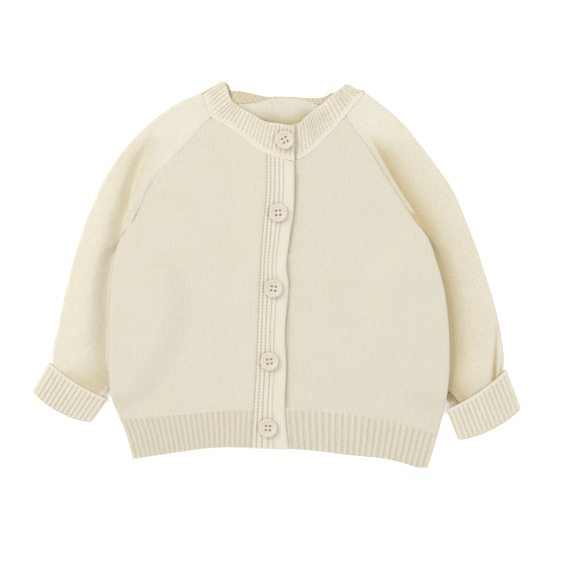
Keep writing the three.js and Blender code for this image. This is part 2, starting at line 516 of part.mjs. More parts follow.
// A sleeve: from the front raglan seam out over its crown, round the outer fold and back under
const WAYS_UP = [1, 2, 3, 3]; // spans from seam to crest, valley, crown and outer fold
const TURN_SPANS = 4;
const BACK_SPANS = 4;
const BACK_RISE = 30; // the bottom layer rises to the back's seam over this length
const LEAST_HIDDEN = 1;
function sleeve(name, rows, edge, side) {
  const grid = rows.map((row) => {
    const length = Math.hypot(row.outX - row.inX, row.outY - row.inY) - WALL / 2;
    const tucked = row.crest === NO_CREST;
    const crest = tucked ? Math.max(LEAST_HIDDEN, hiddenLength(row, edge, side)) : row.crest;
    const valley = crest + VALLEY_WIDTH;
    const foldStart = length - row.turn;
    const sewn = row.crest > LEAST_HIDDEN;
    const start = sewn ? lowerUnder(row.inX, row.inY) + WALL / 2 : row.top;
    const floor = row.base;
    const knots = [
      [0, start],
      [crest, row.top],
      [valley, row.dip],
      [mix(valley, foldStart, CROWN_SHARE), row.crown],
      [foldStart, floor + 2 * row.turn],
    ];
    const profile = [];
    WAYS_UP.forEach((spans, part) => {
      const [s0, z0] = knots[part];
      const [s1, z1] = knots[part + 1];
      for (let i = 0; i < spans; i++) {
        const t = i / spans;
        const slope = (z1 - z0) * 6 * t * (1 - t) / (s1 - s0);
        profile.push({ s: mix(s0, s1, t), z: mix(z0, z1, ease(t)), turned: 0, ns: -slope, nz: 1 });
      }
    });
    steps(TURN_SPANS).forEach((t) => {
      const angle = Math.PI * t;
      const s = foldStart + row.turn * Math.sin(angle);
      const z = floor + row.turn * (1 + Math.cos(angle));
      profile.push({ s, z, turned: t, ns: Math.sin(angle), nz: Math.cos(angle) });
    });
    for (let i = 1; i <= BACK_SPANS; i++) {
      const t = i / BACK_SPANS;
      profile.push({ s: mix(foldStart, 0, t), z: floor, turned: 1, ns: 0, nz: -1 });
    }
    return profile.map(({ s, z, turned, ns, nz }) => {
      const bow = row.bow * 4 * (s / length) * (1 - s / length);
      const fromTop = [mix(row.inX, row.outX, s / length), mix(row.inY, row.outY, s / length)];
      const fromBack = [mix(row.backX, row.outX, s / length), mix(row.backY, row.outY, s / length)];
      const wayX = (row.outX - row.inX) / length;
      const wayY = (row.outY - row.inY) / length;
      const back = 2 * EDGE_INSET * (1 - s / length);
      const x = mix(fromTop[0], fromBack[0], turned) + wayX * back + side * wayY * bow;
      const y = mix(fromTop[1], fromBack[1], turned) + wayY * back - side * wayX * bow;
      const size = Math.hypot(ns, nz) / (WALL / 2);
      const rise = sewn ? mix(bandUnder(x, y), backUnder(x, y), ease(1 - s / BACK_RISE)) : 0;
      const lifted = z + (turned === 1 ? rise : 0);
      const shift = [(ns * wayX) / size, (ns * wayY) / size, nz / size];
      return {
        show: [x + shift[0], y + shift[1], lifted + shift[2]],
        behind: [x - shift[0], y - shift[1], lifted - shift[2]],
      };
    });
  });
  add(name, wallSolid(grid), FLEECE);
}
sleeve("sleeve_left", SLEEVE_LEFT, frontLeft, -1);
sleeve("sleeve_right", SLEEVE_RIGHT, frontRight, 1);

// Gives a surface its thickness, along its normals: the face that shows and the face behind it
function thicken(surface, wall, rise, { round = false } = {}) {
  const across = surface[0].length;
  const point = (i, j) => new THREE.Vector3(...surface[i][round ? (j + across) % across : j]);
  const inRow = (j) => (round ? j : Math.min(across - 1, Math.max(0, j)));
  const inGrid = (i) => Math.min(surface.length - 1, Math.max(0, i));
  const normal = (i, j) => {
    const along = point(inGrid(i + 1), j).sub(point(inGrid(i - 1), j));
    const sideways = point(i, inRow(j + 1)).sub(point(i, inRow(j - 1)));
    return along.cross(sideways).normalize();
  };
  const sense = normal(...rise.upright).z < 0 ? -1 : 1;
  return surface.map((row, i) => row.map((_, j) => {
    const out = normal(i, j).multiplyScalar(sense);
    const centre = point(i, j);
    const show = centre.clone().addScaledVector(out, wall / 2 + rise.at(i, j));
    return { show: show.toArray(), behind: centre.addScaledVector(out, -wall / 2).toArray() };
  }));
}

// A turned-back cuff: a flattened tube that runs to the wrist, turns over and comes back outside
const CUFF_STATIONS = columns(["depth", "layer", "ribbed"], [
  [CUFF_START, 0, 0], [0.5, 0, 0], [CUFF_TURN_START, 0, 0], [1, 0.5, 0.4], [CUFF_TURN_START, 1, 1],
  [0.6, 1, 1], [0.3, 1, 1], [0, 1, 1],
]);
const CUFF_BACK_SHARES = [0.03, 0.08, 0.3, 0.7, 0.92, 0.97];
const CUFF_TURN_ROOM = 0.39; // the two walls draw back from the wrist's turn by this share of it
const CUFF_TURN_EASE = 0.15; // and the turn itself by this one
function cuff(name, { armOuter, armInner, wristOuter, wristInner, armBow, wristBow }) {
  const outerHalf = CUFF_INNER_HALF + 2 * CUFF_TURN;
  const middle = CUFF_WALL / 2 + outerHalf;
  const way = new THREE.Vector2(
    wristOuter[0] + wristInner[0] - armOuter[0] - armInner[0],
    wristOuter[1] + wristInner[1] - armOuter[1] - armInner[1],
  );
  const depth = way.length() / 2;
  way.normalize();
  const place = (k, d) => {
    const bow = mix(armBow, wristBow, d) * 4 * k * (1 - k);
    const on = (axis) => mix(
      mix(armOuter[axis], armInner[axis], k), mix(wristOuter[axis], wristInner[axis], k), d,
    );
    return [on(0) + way.x * bow, on(1) + way.y * bow];
  };
  const ring = [
    ...steps(2 * CUFF_RIBS).map((share) => ({ share, up: 1 })),
    ...CUFF_BACK_SHARES.map((share) => ({ share: 1 - share, up: -1 })),
  ];
  const surface = CUFF_STATIONS.map((station) => {
    const half = mix(CUFF_INNER_HALF, outerHalf, station.layer);
    const drawn = station.layer === 0.5 ? CUFF_TURN_EASE : CUFF_TURN_ROOM;
    const d = station.depth - (station.depth >= CUFF_TURN_START ? (drawn * 2 * CUFF_WALL) / depth : 0);
    const [ax, ay] = place(0, d);
    const [bx, by] = place(1, d);
    const inward = (CUFF_WALL / 2 + 2 * CUFF_TURN * (1 - station.layer)) / Math.hypot(bx - ax, by - ay);
    return ring.map(({ share, up }) => {
      const [x, y] = place(mix(inward, 1 - inward, share), d);
      const shape = Math.sqrt(Math.max(0, 1 - Math.abs(2 * share - 1) ** CUFF_FLATNESS));
      return [x, y, middle + up * half * shape];
    });
  });
  const last = CUFF_STATIONS.length - 1;
  const isRib = (j) => j < 2 * CUFF_RIBS && j % 2 === 1;
  const rise = {
    upright: [last - 1, CUFF_RIBS],
    at: (i, j) => (isRib(j) ? RIB_RISE * CUFF_STATIONS[i].ribbed : 0),
  };
  add(name, wallSolid(thicken(surface, CUFF_WALL, rise, { round: true }), { round: true }), RIBBED);
}
cuff("cuff_left", CUFF_LEFT);
cuff("cuff_right", CUFF_RIGHT);

// The neckband in three lengths: ribbed where it lies on the fronts, and folded behind the neck
const FOLD_SEAT = 0.1; // the folded band's upper layer starts this much over the back's underside
const FOLD_SHARE = 0.6; // and its fold takes no more than this share of that layer
function neckband(name, first, last) {
  const indexed = NECKBAND.map((row, index) => ({ ...row, index }));
  const ends = ["seamX", "seamY", "foldX", "foldY", "freeX", "freeY"];
  const lines = Object.fromEntries(ends.map((end) => [end, lineThrough(indexed, "index", end)]));
  const onFront = (row) => row.lay === "upper" || row.lay === "lower";
  const stations = [];
  for (let i = Math.floor(first); i < last; i++) {
    const row = indexed[i];
    const next = indexed[i + 1];
    const seam = Math.hypot(next.seamX - row.seamX, next.seamY - row.seamY);
    const ribbed = onFront(row) && onFront(next);
    const spans = ribbed ? 2 * Math.max(1, Math.round(seam / NECK_RIB_PITCH)) : 1;
    for (let k = 0; k < spans; k++) {
      const index = Math.max(first, i + k / spans);
      stations.push({ index, lay: row.lay, ribbed: ribbed && k % 2 ? 1 : 0 });
    }
  }
  stations.push({ index: last, lay: indexed[Math.floor(last)].lay, ribbed: 0 });
  const half = RIB_WALL / 2;
  const between = (a, b, t) => [mix(a[0], b[0], t), mix(a[1], b[1], t)];
  const distance = (a, b) => Math.hypot(a[0] - b[0], a[1] - b[1]);
  const surface = stations.map(({ index, lay }) => {
    const at = Object.fromEntries(ends.map((end) => [end, lines[end](index)]));
    const seam = [at.seamX, at.seamY];
    const fold = [at.foldX, at.foldY];
    const free = [at.freeX, at.freeY];
    if (lay === "folded") {
      const top = backUnder(...seam) + half + FOLD_SEAT;
      const turn = (top - half) / 2;
      const upper = between(fold, seam, Math.min(FOLD_SHARE, turn / distance(fold, seam)));
      const lower = between(fold, free, turn / distance(fold, free));
      const edge = [...fold, (top + half) / 2];
      return [[...seam, top], [...upper, top], edge, [...lower, half], [...free, half]];
    }
    const under = {
      upper: upperUnder,
      lower: lowerUnder,
      turn: (x, y) => lowerUnder(x, y) / 2,
      floor: () => 0,
    }[lay];
    const flat = [seam, between(seam, fold, 0.5), fold, between(fold, free, 0.5), free];
    return flat.map(([x, y]) => [x, y, under(x, y) + half]);
  });
  const rise = { upright: [6, 1], at: (i) => RIB_RISE * stations[i].ribbed };
  add(name, wallSolid(thicken(surface, RIB_WALL, rise)), RIBBED);
}
const NECK_GAP = 0.045; // half the room between two lengths, in rows
const joinLeft = NECKBAND.findIndex((row) => row.lay === "floor") + 0.5; // where it lies flat
const joinRight = NECKBAND.findLastIndex((row) => row.lay === "floor") - 0.5;
neckband("neckband_left", 0, joinLeft - NECK_GAP);
neckband("neckband_back", joinLeft + NECK_GAP, joinRight - NECK_GAP);
neckband("neckband_right", joinRight + NECK_GAP, NECKBAND.length - 1);

// Buttons: a turned disc with a raised rim and four holes
const BUTTON_PROFILE = columns(["radius", "height"], [
  [0, 0], [0.8, 0], [1, 0.45], [0.93, 1], [0.8, 0.97], [0.68, 0.62], [0, 0.62],
]);
function solidOf(geometry) {
  geometry.deleteAttribute("normal");
  geometry.deleteAttribute("uv");
  const merged = mergeVertices(geometry);
  const index = merged.index.array;
  const kept = [];
  for (let i = 0; i < index.length; i += 3) {
    const [a, b, c] = index.slice(i, i + 3);
    if (a !== b && b !== c && a !== c) kept.push(a, b, c);
  }
  const mesh = new wasm.Mesh({
    numProp: 3,
    vertProperties: merged.getAttribute("position").array,
    triVerts: new Uint32Array(kept),
  });
  return new wasm.Manifold(mesh);
}
function buttonGeometry() {
  const outline = BUTTON_PROFILE.map(({ radius, height }) => (
    new THREE.Vector2(radius * BUTTON_RADIUS, height * BUTTON_HEIGHT)
  ));
  let button = solidOf(new THREE.LatheGeometry(outline, BUTTON_SIDES).rotateX(Math.PI / 2));
  for (const sideX of [-1, 1]) {
    for (const sideY of [-1, 1]) {
      const size = [BUTTON_HOLE_RADIUS, BUTTON_HOLE_RADIUS, 3 * BUTTON_HEIGHT];
      const hole = new THREE.CylinderGeometry(...size, BUTTON_HOLE_SIDES);
      hole.rotateX(Math.PI / 2);
      hole.translate((sideX * BUTTON_HOLE_SPACING) / 2, (sideY * BUTTON_HOLE_SPACING) / 2, 0);
      button = button.subtract(solidOf(hole));
    }
  }
  const mesh = button.getMesh();
  const geometry = new THREE.BufferGeometry();
  geometry.setAttribute("position", new THREE.Float32BufferAttribute(mesh.vertProperties, 3));
  geometry.setIndex(Array.from(mesh.triVerts));
  return geometry;
}
BUTTONS.forEach(({ x, y, turn }, i) => {
  const button = add(`button_${i + 1}`, buttonGeometry(), RESIN);
  button.position.set(x, y, upperUnder(x, y) + RIB_WALL + RIB_RISE + BUTTON_SEAT);
  button.rotation.z = turn;
});

export default garment;
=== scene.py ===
# %% [markdown]
# # A baby cardigan in fine cream knit, laid flat
# The real garment is knitted in flat pieces: two fronts, a back and two raglan sleeves in plain
# knit, then ribbed hems, cuffs, a neckband and the bands that carry the buttons and their holes.
# It lies on a table with its front up, so every piece is a thin sheet that follows what lies under
# it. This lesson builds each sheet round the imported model, which fixes every place and size.

# %% Load the frame
import json
import math

import bmesh
import bpy
import numpy as np
from mathutils import Matrix, Vector

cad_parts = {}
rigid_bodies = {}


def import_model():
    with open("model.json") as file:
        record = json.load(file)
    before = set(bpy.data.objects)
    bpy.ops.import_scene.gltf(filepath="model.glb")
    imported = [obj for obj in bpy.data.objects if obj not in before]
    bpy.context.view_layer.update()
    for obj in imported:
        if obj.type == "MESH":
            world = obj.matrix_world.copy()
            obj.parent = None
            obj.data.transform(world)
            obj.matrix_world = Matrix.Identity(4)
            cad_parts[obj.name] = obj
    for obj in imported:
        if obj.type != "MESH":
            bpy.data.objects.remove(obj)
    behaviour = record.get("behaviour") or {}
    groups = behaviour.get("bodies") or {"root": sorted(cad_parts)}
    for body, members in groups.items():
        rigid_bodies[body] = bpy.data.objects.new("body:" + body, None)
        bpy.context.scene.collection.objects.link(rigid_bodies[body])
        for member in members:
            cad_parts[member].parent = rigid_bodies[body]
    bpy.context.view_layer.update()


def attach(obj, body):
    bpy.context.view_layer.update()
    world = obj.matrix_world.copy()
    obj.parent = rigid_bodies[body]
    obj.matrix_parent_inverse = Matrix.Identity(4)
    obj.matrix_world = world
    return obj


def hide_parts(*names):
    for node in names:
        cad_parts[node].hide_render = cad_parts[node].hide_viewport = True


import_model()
MM = 0.001

# %% [markdown]
# ## How the layers are stacked
# A laid garment could be dropped by a cloth simulation, but then no seam would stay where it is.
# A maker thinks in layers instead: the back lies on the table, the fronts lie on the back, and the
# left front laps over the right one. Each layer rises a little where something lies under it: a
# sleeve tucked in at the side, or the neckband folded behind the neck. So a layer's underside is
# a sum of soft steps over outlines, and one set of numbers serves all the pieces. All sizes here
# are millimetres, with X to the right and Y towards the neck.

# %% Cloth and layers
WALL = 1.6
RIB_WALL = 1.4
RIB_RISE = 0.9
LAYER = WALL + 0.4
OVERLAP_LIFT = 2.6
TUCK_LIFT = 6
BAND_LIFT = 2.1
TUCK_SLOPE = 30
TUCK_FADE_TOP = -106
TUCK_FADE_BOTTOM = -130
BAND_SLOPE = 10
OVERLAP_SLOPE = 30
TUCK_MARGIN = 8
BAND_MARGIN = 2
SEAM = 0.05


def columns(names, rows):
    return [dict(zip(names, row)) for row in rows]


def mix(a, b, t):
    return a + (b - a) * t


def ease(t):
    t = np.clip(t, 0, 1)
    return t * t * (3 - 2 * t)


print("a layer is", LAYER, "mm")

# %% Outline of the body
FRONT_EDGE_LEFT = columns(["y", "x"], [
    [140.1, -59.3], [126, -71.5], [109.8, -86], [79.2, -113.9], [52.2, -126.5], [29.7, -140],
    [20.7, -143.6], [-5.4, -148.1], [-28.8, -149.7], [-78.3, -150.3], [-101.7, -149.7],
    [-117.9, -146.3], [-134.1, -140], [-147.6, -134.8], [-168, -129.2],
])
FRONT_EDGE_RIGHT = columns(["y", "x"], [
    [141.3, 62.9], [125.6, 73.8], [117.6, 80.1], [88.2, 98], [65.7, 112.5], [45.9, 126], [30.6, 136.4],
    [7.7, 144.5], [-15.3, 150.6], [-38.7, 153.8], [-62.1, 155.2], [-84.6, 155.2], [-111.6, 152.8],
    [-127.8, 149.6], [-147.6, 144.5], [-176, 136],
])
BACK_EDGE_LEFT = columns(["y", "x"], [
    [151.2, -49.1], [133, -64.5], [112, -83], [79.2, -113.9], [52.2, -126.5], [29.7, -140],
])
BACK_EDGE_RIGHT = columns(["y", "x"], [
    [149.4, 55.4], [136, 67], [119, 79], [88.2, 98], [65.7, 112.5], [45.9, 126], [30.6, 136.4],
])

# %% Seams of the neckband, the button bands and the hem
NECK_SEAM_LEFT = columns(["x", "y"], [
    [-59.3, 140.1], [-45.1, 132.5], [-29.9, 121.5], [-16.7, 110.7], [-1.5, 104.1], [15.9, 99.9],
])
NECK_SEAM_RIGHT = columns(["x", "y"], [
    [-9, 105.5], [17.6, 102], [31.1, 108.5], [42.1, 119.4], [53.1, 130.3], [62.9, 141.3],
])
NECK_SEAM_BACK = columns(["x", "y"], [
    [-49.1, 151.2], [-39.2, 152.1], [-23.3, 152.9], [0, 156], [12.2, 156], [24.8, 154.4], [39.2, 151.4],
    [55.4, 149.4],
])
BAND_LINE = columns(["y", "x"], [
    [108, -8.6], [73.8, -8.9], [36.9, -12.3], [-15.3, -15.4], [-63.9, -17.2], [-99.9, -19], [-160, -23],
])
BAND_EDGE = columns(["y", "x"], [
    [108, 15.9], [61.2, 15.8], [33.3, 12.2], [6.3, 8.9], [-9.5, 10.8], [-31.5, 9.4], [-51.3, 7.7],
    [-87.3, 8.7], [-124.2, 7.6], [-160, 11.2],
])
HEM_LINE = columns(["x", "y"], [
    [-142, -131.5], [-108.5, -128.3], [-57.2, -123.7], [-25.7, -121.5], [11, -121.7], [57.2, -124.7],
    [105.8, -134.4], [145, -146.5],
])
HEM_EDGE = columns(["x", "y"], [
    [-130, -167.4], [-100.4, -162.9], [-57.2, -157.4], [-15.8, -157.2], [32.4, -159.8], [59.9, -163.2],
    [95.9, -166.8], [110.3, -169.8], [126, -174.6], [137, -175.2],
])
print("11 edge and seam tables, in mm")

# %% [markdown]
# ## Smooth lines through the tables
# Each edge of the garment is a short table of points, measured as a maker measures a laid garment.
# Straight lines between them would look cut with scissors, so a smooth curve goes through them.
# The same helper turns any column of a table into a curve over any other column, and it takes
# whole arrays, which keeps thousands of points quick.

# %% Curves and distances
def line_through(table, start, end):
    rows = sorted(table, key=lambda row: row[start])
    xs = np.array([row[start] for row in rows], float)
    ys = np.array([row[end] for row in rows], float)
    before = np.maximum(np.arange(len(xs)) - 1, 0)
    after = np.minimum(np.arange(len(xs)) + 1, len(xs) - 1)
    slopes = (ys[after] - ys[before]) / (xs[after] - xs[before])

    def line(value):
        value = np.asarray(value, float)
        i = np.clip(np.searchsorted(xs, value, side="right") - 1, 0, len(xs) - 2)
        width = xs[i + 1] - xs[i]
        t = np.clip((value - xs[i]) / width, 0, 1)
        from_first = ys[i] * (1 + 2 * t) * (1 - t) ** 2 + slopes[i] * width * t * (1 - t) ** 2
        to_next = ys[i + 1] * t * t * (3 - 2 * t) - slopes[i + 1] * width * t * t * (1 - t)
        low = slopes[0] * np.minimum(value - xs[0], 0)
        high = slopes[-1] * np.maximum(value - xs[-1], 0)
        return from_first + to_next + low + high

    return line


def depth_inside(outline, x, y):
    nearest = np.full(np.shape(x), np.inf)
    inside = np.zeros(np.shape(x), bool)
    for (ax, ay), (bx, by) in zip(outline, outline[1:] + outline[:1]):
        length = (bx - ax) ** 2 + (by - ay) ** 2
        t = np.clip(((x - ax) * (bx - ax) + (y - ay) * (by - ay)) / length, 0, 1)
        nearest = np.minimum(nearest, np.hypot(x - mix(ax, bx, t), y - mix(ay, by, t)))
        if ay != by:
            inside ^= ((ay > y) != (by > y)) & (x < ax + (y - ay) * (bx - ax) / (by - ay))
    return np.where(inside, nearest, -nearest)


front_left = line_through(FRONT_EDGE_LEFT, "y", "x")
front_right = line_through(FRONT_EDGE_RIGHT, "y", "x")
back_left = line_through(BACK_EDGE_LEFT + FRONT_EDGE_LEFT[6:], "y", "x")
back_right = line_through(BACK_EDGE_RIGHT + FRONT_EDGE_RIGHT[7:], "y", "x")
band_line = line_through(BAND_LINE, "y", "x")
band_edge = line_through(BAND_EDGE, "y", "x")
neck_left = line_through(NECK_SEAM_LEFT, "x", "y")
neck_right = line_through(NECK_SEAM_RIGHT, "x", "y")
neck_back = line_through(NECK_SEAM_BACK, "x", "y")
hem_line = line_through(HEM_LINE, "x", "y")
hem_edge = line_through(HEM_EDGE, "x", "y")
print("the body is", round(float(front_right(0) - front_left(0))), "mm wide under the arms")

# %% [markdown]
# ## Sleeves and neckband as tables
# A sleeve that lies flat is a tube pressed almost shut. A row of its table is one section: where
# its top layer starts, where it folds on the outside, and how high the crest beside the body, the
# valley, the crown and the bottom layer are. A crest of 0 means that the body covers the inner end.
# The neckband's rows run from the left front's end over both shoulders to the right one's end.

# %% Sleeve sections
SLEEVE_COLUMNS = [
    "inX", "inY", "outX", "outY", "backX", "backY", "crest", "turn", "top", "dip", "crown", "base", "bow",
]
SLEEVE_LEFT = columns(SLEEVE_COLUMNS, [
    [-59.3, 140.1, -67.2, 162.6, -49.1, 151.2, 8, 1, 2.8, 2.8, 2.9, 0.8, 0],
    [-71.5, 126, -91.4, 151.2, -64.5, 133, 18, 1.4, 3.1, 3.2, 3.4, 0.8, 0],
    [-86, 109.8, -115.7, 133.2, -83, 112, 25, 1.8, 3.9, 3.9, 4.3, 0.8, 0],
    [-100, 94.5, -136.4, 112.1, -98.5, 95.5, 20, 2.1, 4.5, 4.1, 5.6, 0.8, 0],
    [-113.9, 79.2, -152.6, 88.2, -114.1, 79.2, 12.4, 2.5, 4.9, 3.8, 7.2, 0.8, 0],
    [-121.1, 64, -163.4, 65.7, -121.6, 64, 9, 2.5, 5, 3.5, 8.2, 0.8, 0],
    [-125.8, 54.6, -167.4, 55.8, -126.2, 54.6, 7.2, 2.5, 5, 3.5, 8.2, 0.8, 0],
    [-130.6, 45, -171.5, 45.9, -130.6, 45, 5.5, 2.5, 4.9, 3.6, 8.2, 0.8, 0],
    [-138, 29.7, -177.8, 27, -138, 29.7, 1, 2.5, 4.4, 3.8, 8.2, 0.8, 0],
    [-138, 27, -179, 23.5, -138, 27, 1, 2.5, 4.2, 3.6, 8.2, 0.8, 0],
    [-138.6, 24, -180.2, 20, -138.6, 24, 1, 2.5, 4, 3.4, 8.2, 0.8, 0],
    [-141.5, 16.5, -182.4, 12, -141.5, 16.5, 0, 2.5, 3.4, 2.8, 8.2, 0.8, 0],
    [-126, 5, -185.6, -1, -126, 5, 0, 2.5, 4.3, 2.8, 8.2, 0.8, 0],
    [-113, -11, -189.6, -17, -113, -11, 0, 2.5, 4.3, 2.8, 8.2, 0.8, 0],
    [-110, -31, -193.5, -35.1, -110, -31, 0, 2.5, 4.3, 2.8, 8.2, 0.8, 0],
    [-116, -50, -196.4, -50, -116, -50, 0, 2.5, 4.3, 2.8, 8.2, 0.8, 0],
    [-124, -67, -198.8, -59.5, -124, -67, 0, 2.5, 4.3, 2.8, 7.8, 0.8, 0],
    [-133, -83, -200.4, -66, -133, -83, 0, 2.3, 4.3, 2.8, 7.4, 0.8, 0],
    [-143, -96, -201.3, -71.5, -143, -96, 0, 2.1, 2.7, 2.8, 6.8, 0.8, 1],
    [-151.3, -105.6, -201.6, -76, -151.3, -105.6, 0, 1.8, 2.7, 2.8, 6, 0.8, 2],
    [-156, -110.4, -200.8, -82.3, -156, -110.4, 0, 0.97, 4.5, 4.5, 4.6, 2.65, 3],
    [-158, -113.2, -202.4, -85.4, -158, -113.2, 0, 0.97, 4.5, 4.5, 4.6, 2.65, 3],
])
SLEEVE_RIGHT = columns(SLEEVE_COLUMNS, [
    [62.9, 141.3, 80.4, 162, 55.4, 149.4, 6, 1, 2.8, 2.8, 2.9, 0.8, 0],
    [71, 129.5, 98, 148.5, 67, 136, 6, 1.5, 3.1, 3.2, 3.8, 0.8, 0],
    [80.1, 117.6, 114.8, 133.2, 79, 119, 4.4, 1.8, 3.7, 3.6, 5, 0.8, 0],
    [89, 103.5, 129.2, 115.2, 88.4, 104.2, 3.6, 2.1, 4.3, 3.7, 6.2, 0.8, 0],
    [98, 88.2, 142.7, 97.2, 98, 88.2, 3.2, 2.5, 4.6, 3.5, 7.5, 0.8, 0],
    [108, 72.5, 155.3, 79.2, 108, 72.5, 3, 2.5, 4.4, 3.3, 8.2, 0.8, 0],
    [119.2, 56, 164.3, 61.2, 119.2, 56, 2.8, 2.5, 4.2, 3.1, 8.2, 0.8, 0],
    [128, 43, 171.5, 43.2, 128, 43, 2.6, 2.5, 4, 3.6, 8.2, 0.8, 0],
    [134.2, 30.6, 177, 29, 134.2, 30.6, 1, 2.5, 3.8, 3.6, 8.2, 0.8, 0],
    [134.8, 27.2, 178.8, 24.6, 134.8, 27.2, 1, 2.5, 3.6, 3.4, 8.2, 0.8, 0],
    [135.8, 24, 180.2, 20.5, 135.8, 24, 1, 2.5, 3.4, 2.8, 8.2, 0.8, 0],
    [139.5, 16, 182.6, 13, 139.5, 16, 0, 2.5, 3.4, 2.8, 8.2, 0.8, 0],
    [124, 4, 186, 2.5, 124, 4, 0, 2.5, 4.3, 2.8, 8.2, 0.8, 0],
    [112, -12, 190.8, -12, 112, -12, 0, 2.5, 4.3, 2.8, 8.2, 0.8, 0],
    [109, -32, 195.8, -29, 109, -32, 0, 2.5, 4.3, 2.8, 8.2, 0.8, 0],
    [115, -52, 199.8, -46, 115, -52, 0, 2.5, 4.3, 2.8, 8.2, 0.8, 0],
    [124, -72, 202.2, -60, 124, -72, 0, 2.5, 4.3, 2.8, 7.8, 0.8, 0],
    [134, -90, 203.5, -68.5, 134, -90, 0, 2.3, 4.3, 2.8, 7.4, 0.8, 0],
    [149, -101.5, 204.2, -74.5, 145.5, -104, 0, 2.1, 2.7, 2.8, 6.8, 0.8, 1],
    [159, -110, 204.7, -80.5, 153.7, -114, 0, 1.8, 2.7, 2.8, 6, 0.8, 2],
    [164, -116, 203.1, -89, 157.3, -119.6, 0, 0.97, 4.5, 4.5, 4.6, 2.65, 3],
    [165.5, -119.5, 204.1, -92.4, 158.6, -122.9, 0, 0.97, 4.5, 4.5, 4.6, 2.65, 3],
])
VALLEY_WIDTH = 4
CROWN_SHARE = 0.42
print(len(SLEEVE_LEFT), "and", len(SLEEVE_RIGHT), "sleeve sections")

# %% Neckband sections
NECKBAND = columns(["seamX", "seamY", "foldX", "foldY", "freeX", "freeY", "lay"], [
    [15.9, 100.2, 15.9, 116, 15.9, 131.4, "upper"],
    [-1.5, 104.4, 0.8, 119, 3, 133.9, "upper"],
    [-16.7, 111, -13.5, 123.5, -10, 136, "upper"],
    [-29.9, 121.8, -25.5, 132, -21, 142.3, "upper"],
    [-44.9, 132.8, -39, 141, -33, 149.3, "upper"],
    [-58.6, 140.5, -49.5, 148, -40.5, 155.5, "upper"],
    [-62.9, 151, -54, 158.5, -44.6, 166, "upper"],
    [-65.5, 157.7, -56, 164.5, -46, 171.2, "upper"],
    [-65.7, 161.6, -56.5, 167.3, -46.9, 173.2, "turn"],
    [-63.5, 161.4, -55, 166.2, -45.4, 171.4, "floor"],
    [-56.2, 155.9, -49.8, 162.3, -43, 168.4, "floor"],
    [-48.8, 151.9, -41.7, 163.5, -38.4, 157.5, "folded"],
    [-39.2, 152.6, -32, 163, -28.5, 155, "folded"],
    [-23.3, 153.4, -18, 160.2, -14, 148.5, "folded"],
    [-10.4, 155, -8.5, 157.9, -6, 139.5, "folded"],
    [0, 156.5, 0, 158, 0, 137, "folded"],
    [12.2, 156.5, 12.2, 157.8, 12.5, 136.8, "folded"],
    [24.8, 154.9, 24.6, 156.9, 22.5, 137.5, "folded"],
    [39.2, 151.9, 37.5, 157.2, 33.5, 143, "folded"],
    [47, 150.9, 45.5, 159.5, 41.5, 150, "folded"],
    [55.1, 150.1, 51.5, 162, 48.5, 156.5, "folded"],
    [66.3, 155.8, 60.8, 160.8, 55.5, 165, "floor"],
    [77.3, 162.2, 69, 165.2, 60.9, 168.9, "floor"],
    [78.6, 162.3, 70.5, 166.5, 62.4, 170.6, "turn"],
    [77.4, 159.6, 69, 164, 60.6, 168.4, "lower"],
    [71.3, 152.6, 64, 159, 56.6, 165.4, "lower"],
    [62.2, 142, 56.5, 151.5, 50.9, 160.9, "lower"],
    [52.9, 130.7, 47, 141.8, 41.5, 152.5, "lower"],
    [41.9, 119.8, 37.5, 133, 33, 146, "lower"],
    [30.9, 109.2, 28.5, 124.5, 25.7, 140.1, "lower"],
    [17.6, 102.7, 17.4, 118, 17.1, 133.7, "lower"],
    [-8, 106, -7.5, 119.5, -7, 133, "lower"],
])
print(len(NECKBAND), "neckband sections")

# %% What lies under the body
SLEEVE_REACH = 45
TUCK_TOP = 3


def tuck_outline(rows, side):
    inner = [(row["inX"], row["inY"]) for row in rows if row["crest"] == 0]
    (first_x, first_y), (last_x, last_y) = inner[0], inner[-1]
    outer = [(last_x + side * SLEEVE_REACH, last_y), (first_x + side * SLEEVE_REACH, first_y)]
    return inner + outer + [(first_x, first_y + TUCK_TOP)]


TUCKS = [tuck_outline(SLEEVE_LEFT, -1), tuck_outline(SLEEVE_RIGHT, 1)]
folded_rows = [row for row in NECKBAND if row["lay"] == "folded"]
FOLDED_OUTLINE = [(row["foldX"], row["foldY"]) for row in folded_rows]
FOLDED_OUTLINE += [(row["freeX"], row["freeY"]) for row in reversed(folded_rows)]
BAND_TOP_Y = BAND_LINE[0]["y"]


def cover(outline, x, y, margin, slope):
    return ease(1 + (depth_inside(outline, x, y) + margin) / slope)


def band_under(x, y):
    return BAND_LIFT * cover(FOLDED_OUTLINE, x, y, BAND_MARGIN, BAND_SLOPE)


def tuck_under(x, y):
    left, right = (cover(tuck, x, y, TUCK_MARGIN, TUCK_SLOPE) for tuck in TUCKS)
    fade = ease((y - TUCK_FADE_BOTTOM) / (TUCK_FADE_TOP - TUCK_FADE_BOTTOM))
    return TUCK_LIFT * fade * np.maximum(left, right)


def back_under(x, y):
    return tuck_under(x, y) + band_under(x, y)


def lower_under(x, y):
    return back_under(x, y) + LAYER


def upper_under(x, y):
    past_line = x - band_line(np.minimum(y, BAND_TOP_Y))
    return lower_under(x, y) + OVERLAP_LIFT * ease(1 + past_line / OVERLAP_SLOPE)


print("under the left front's edge:", round(float(upper_under(0.0, 0.0)), 1), "mm")

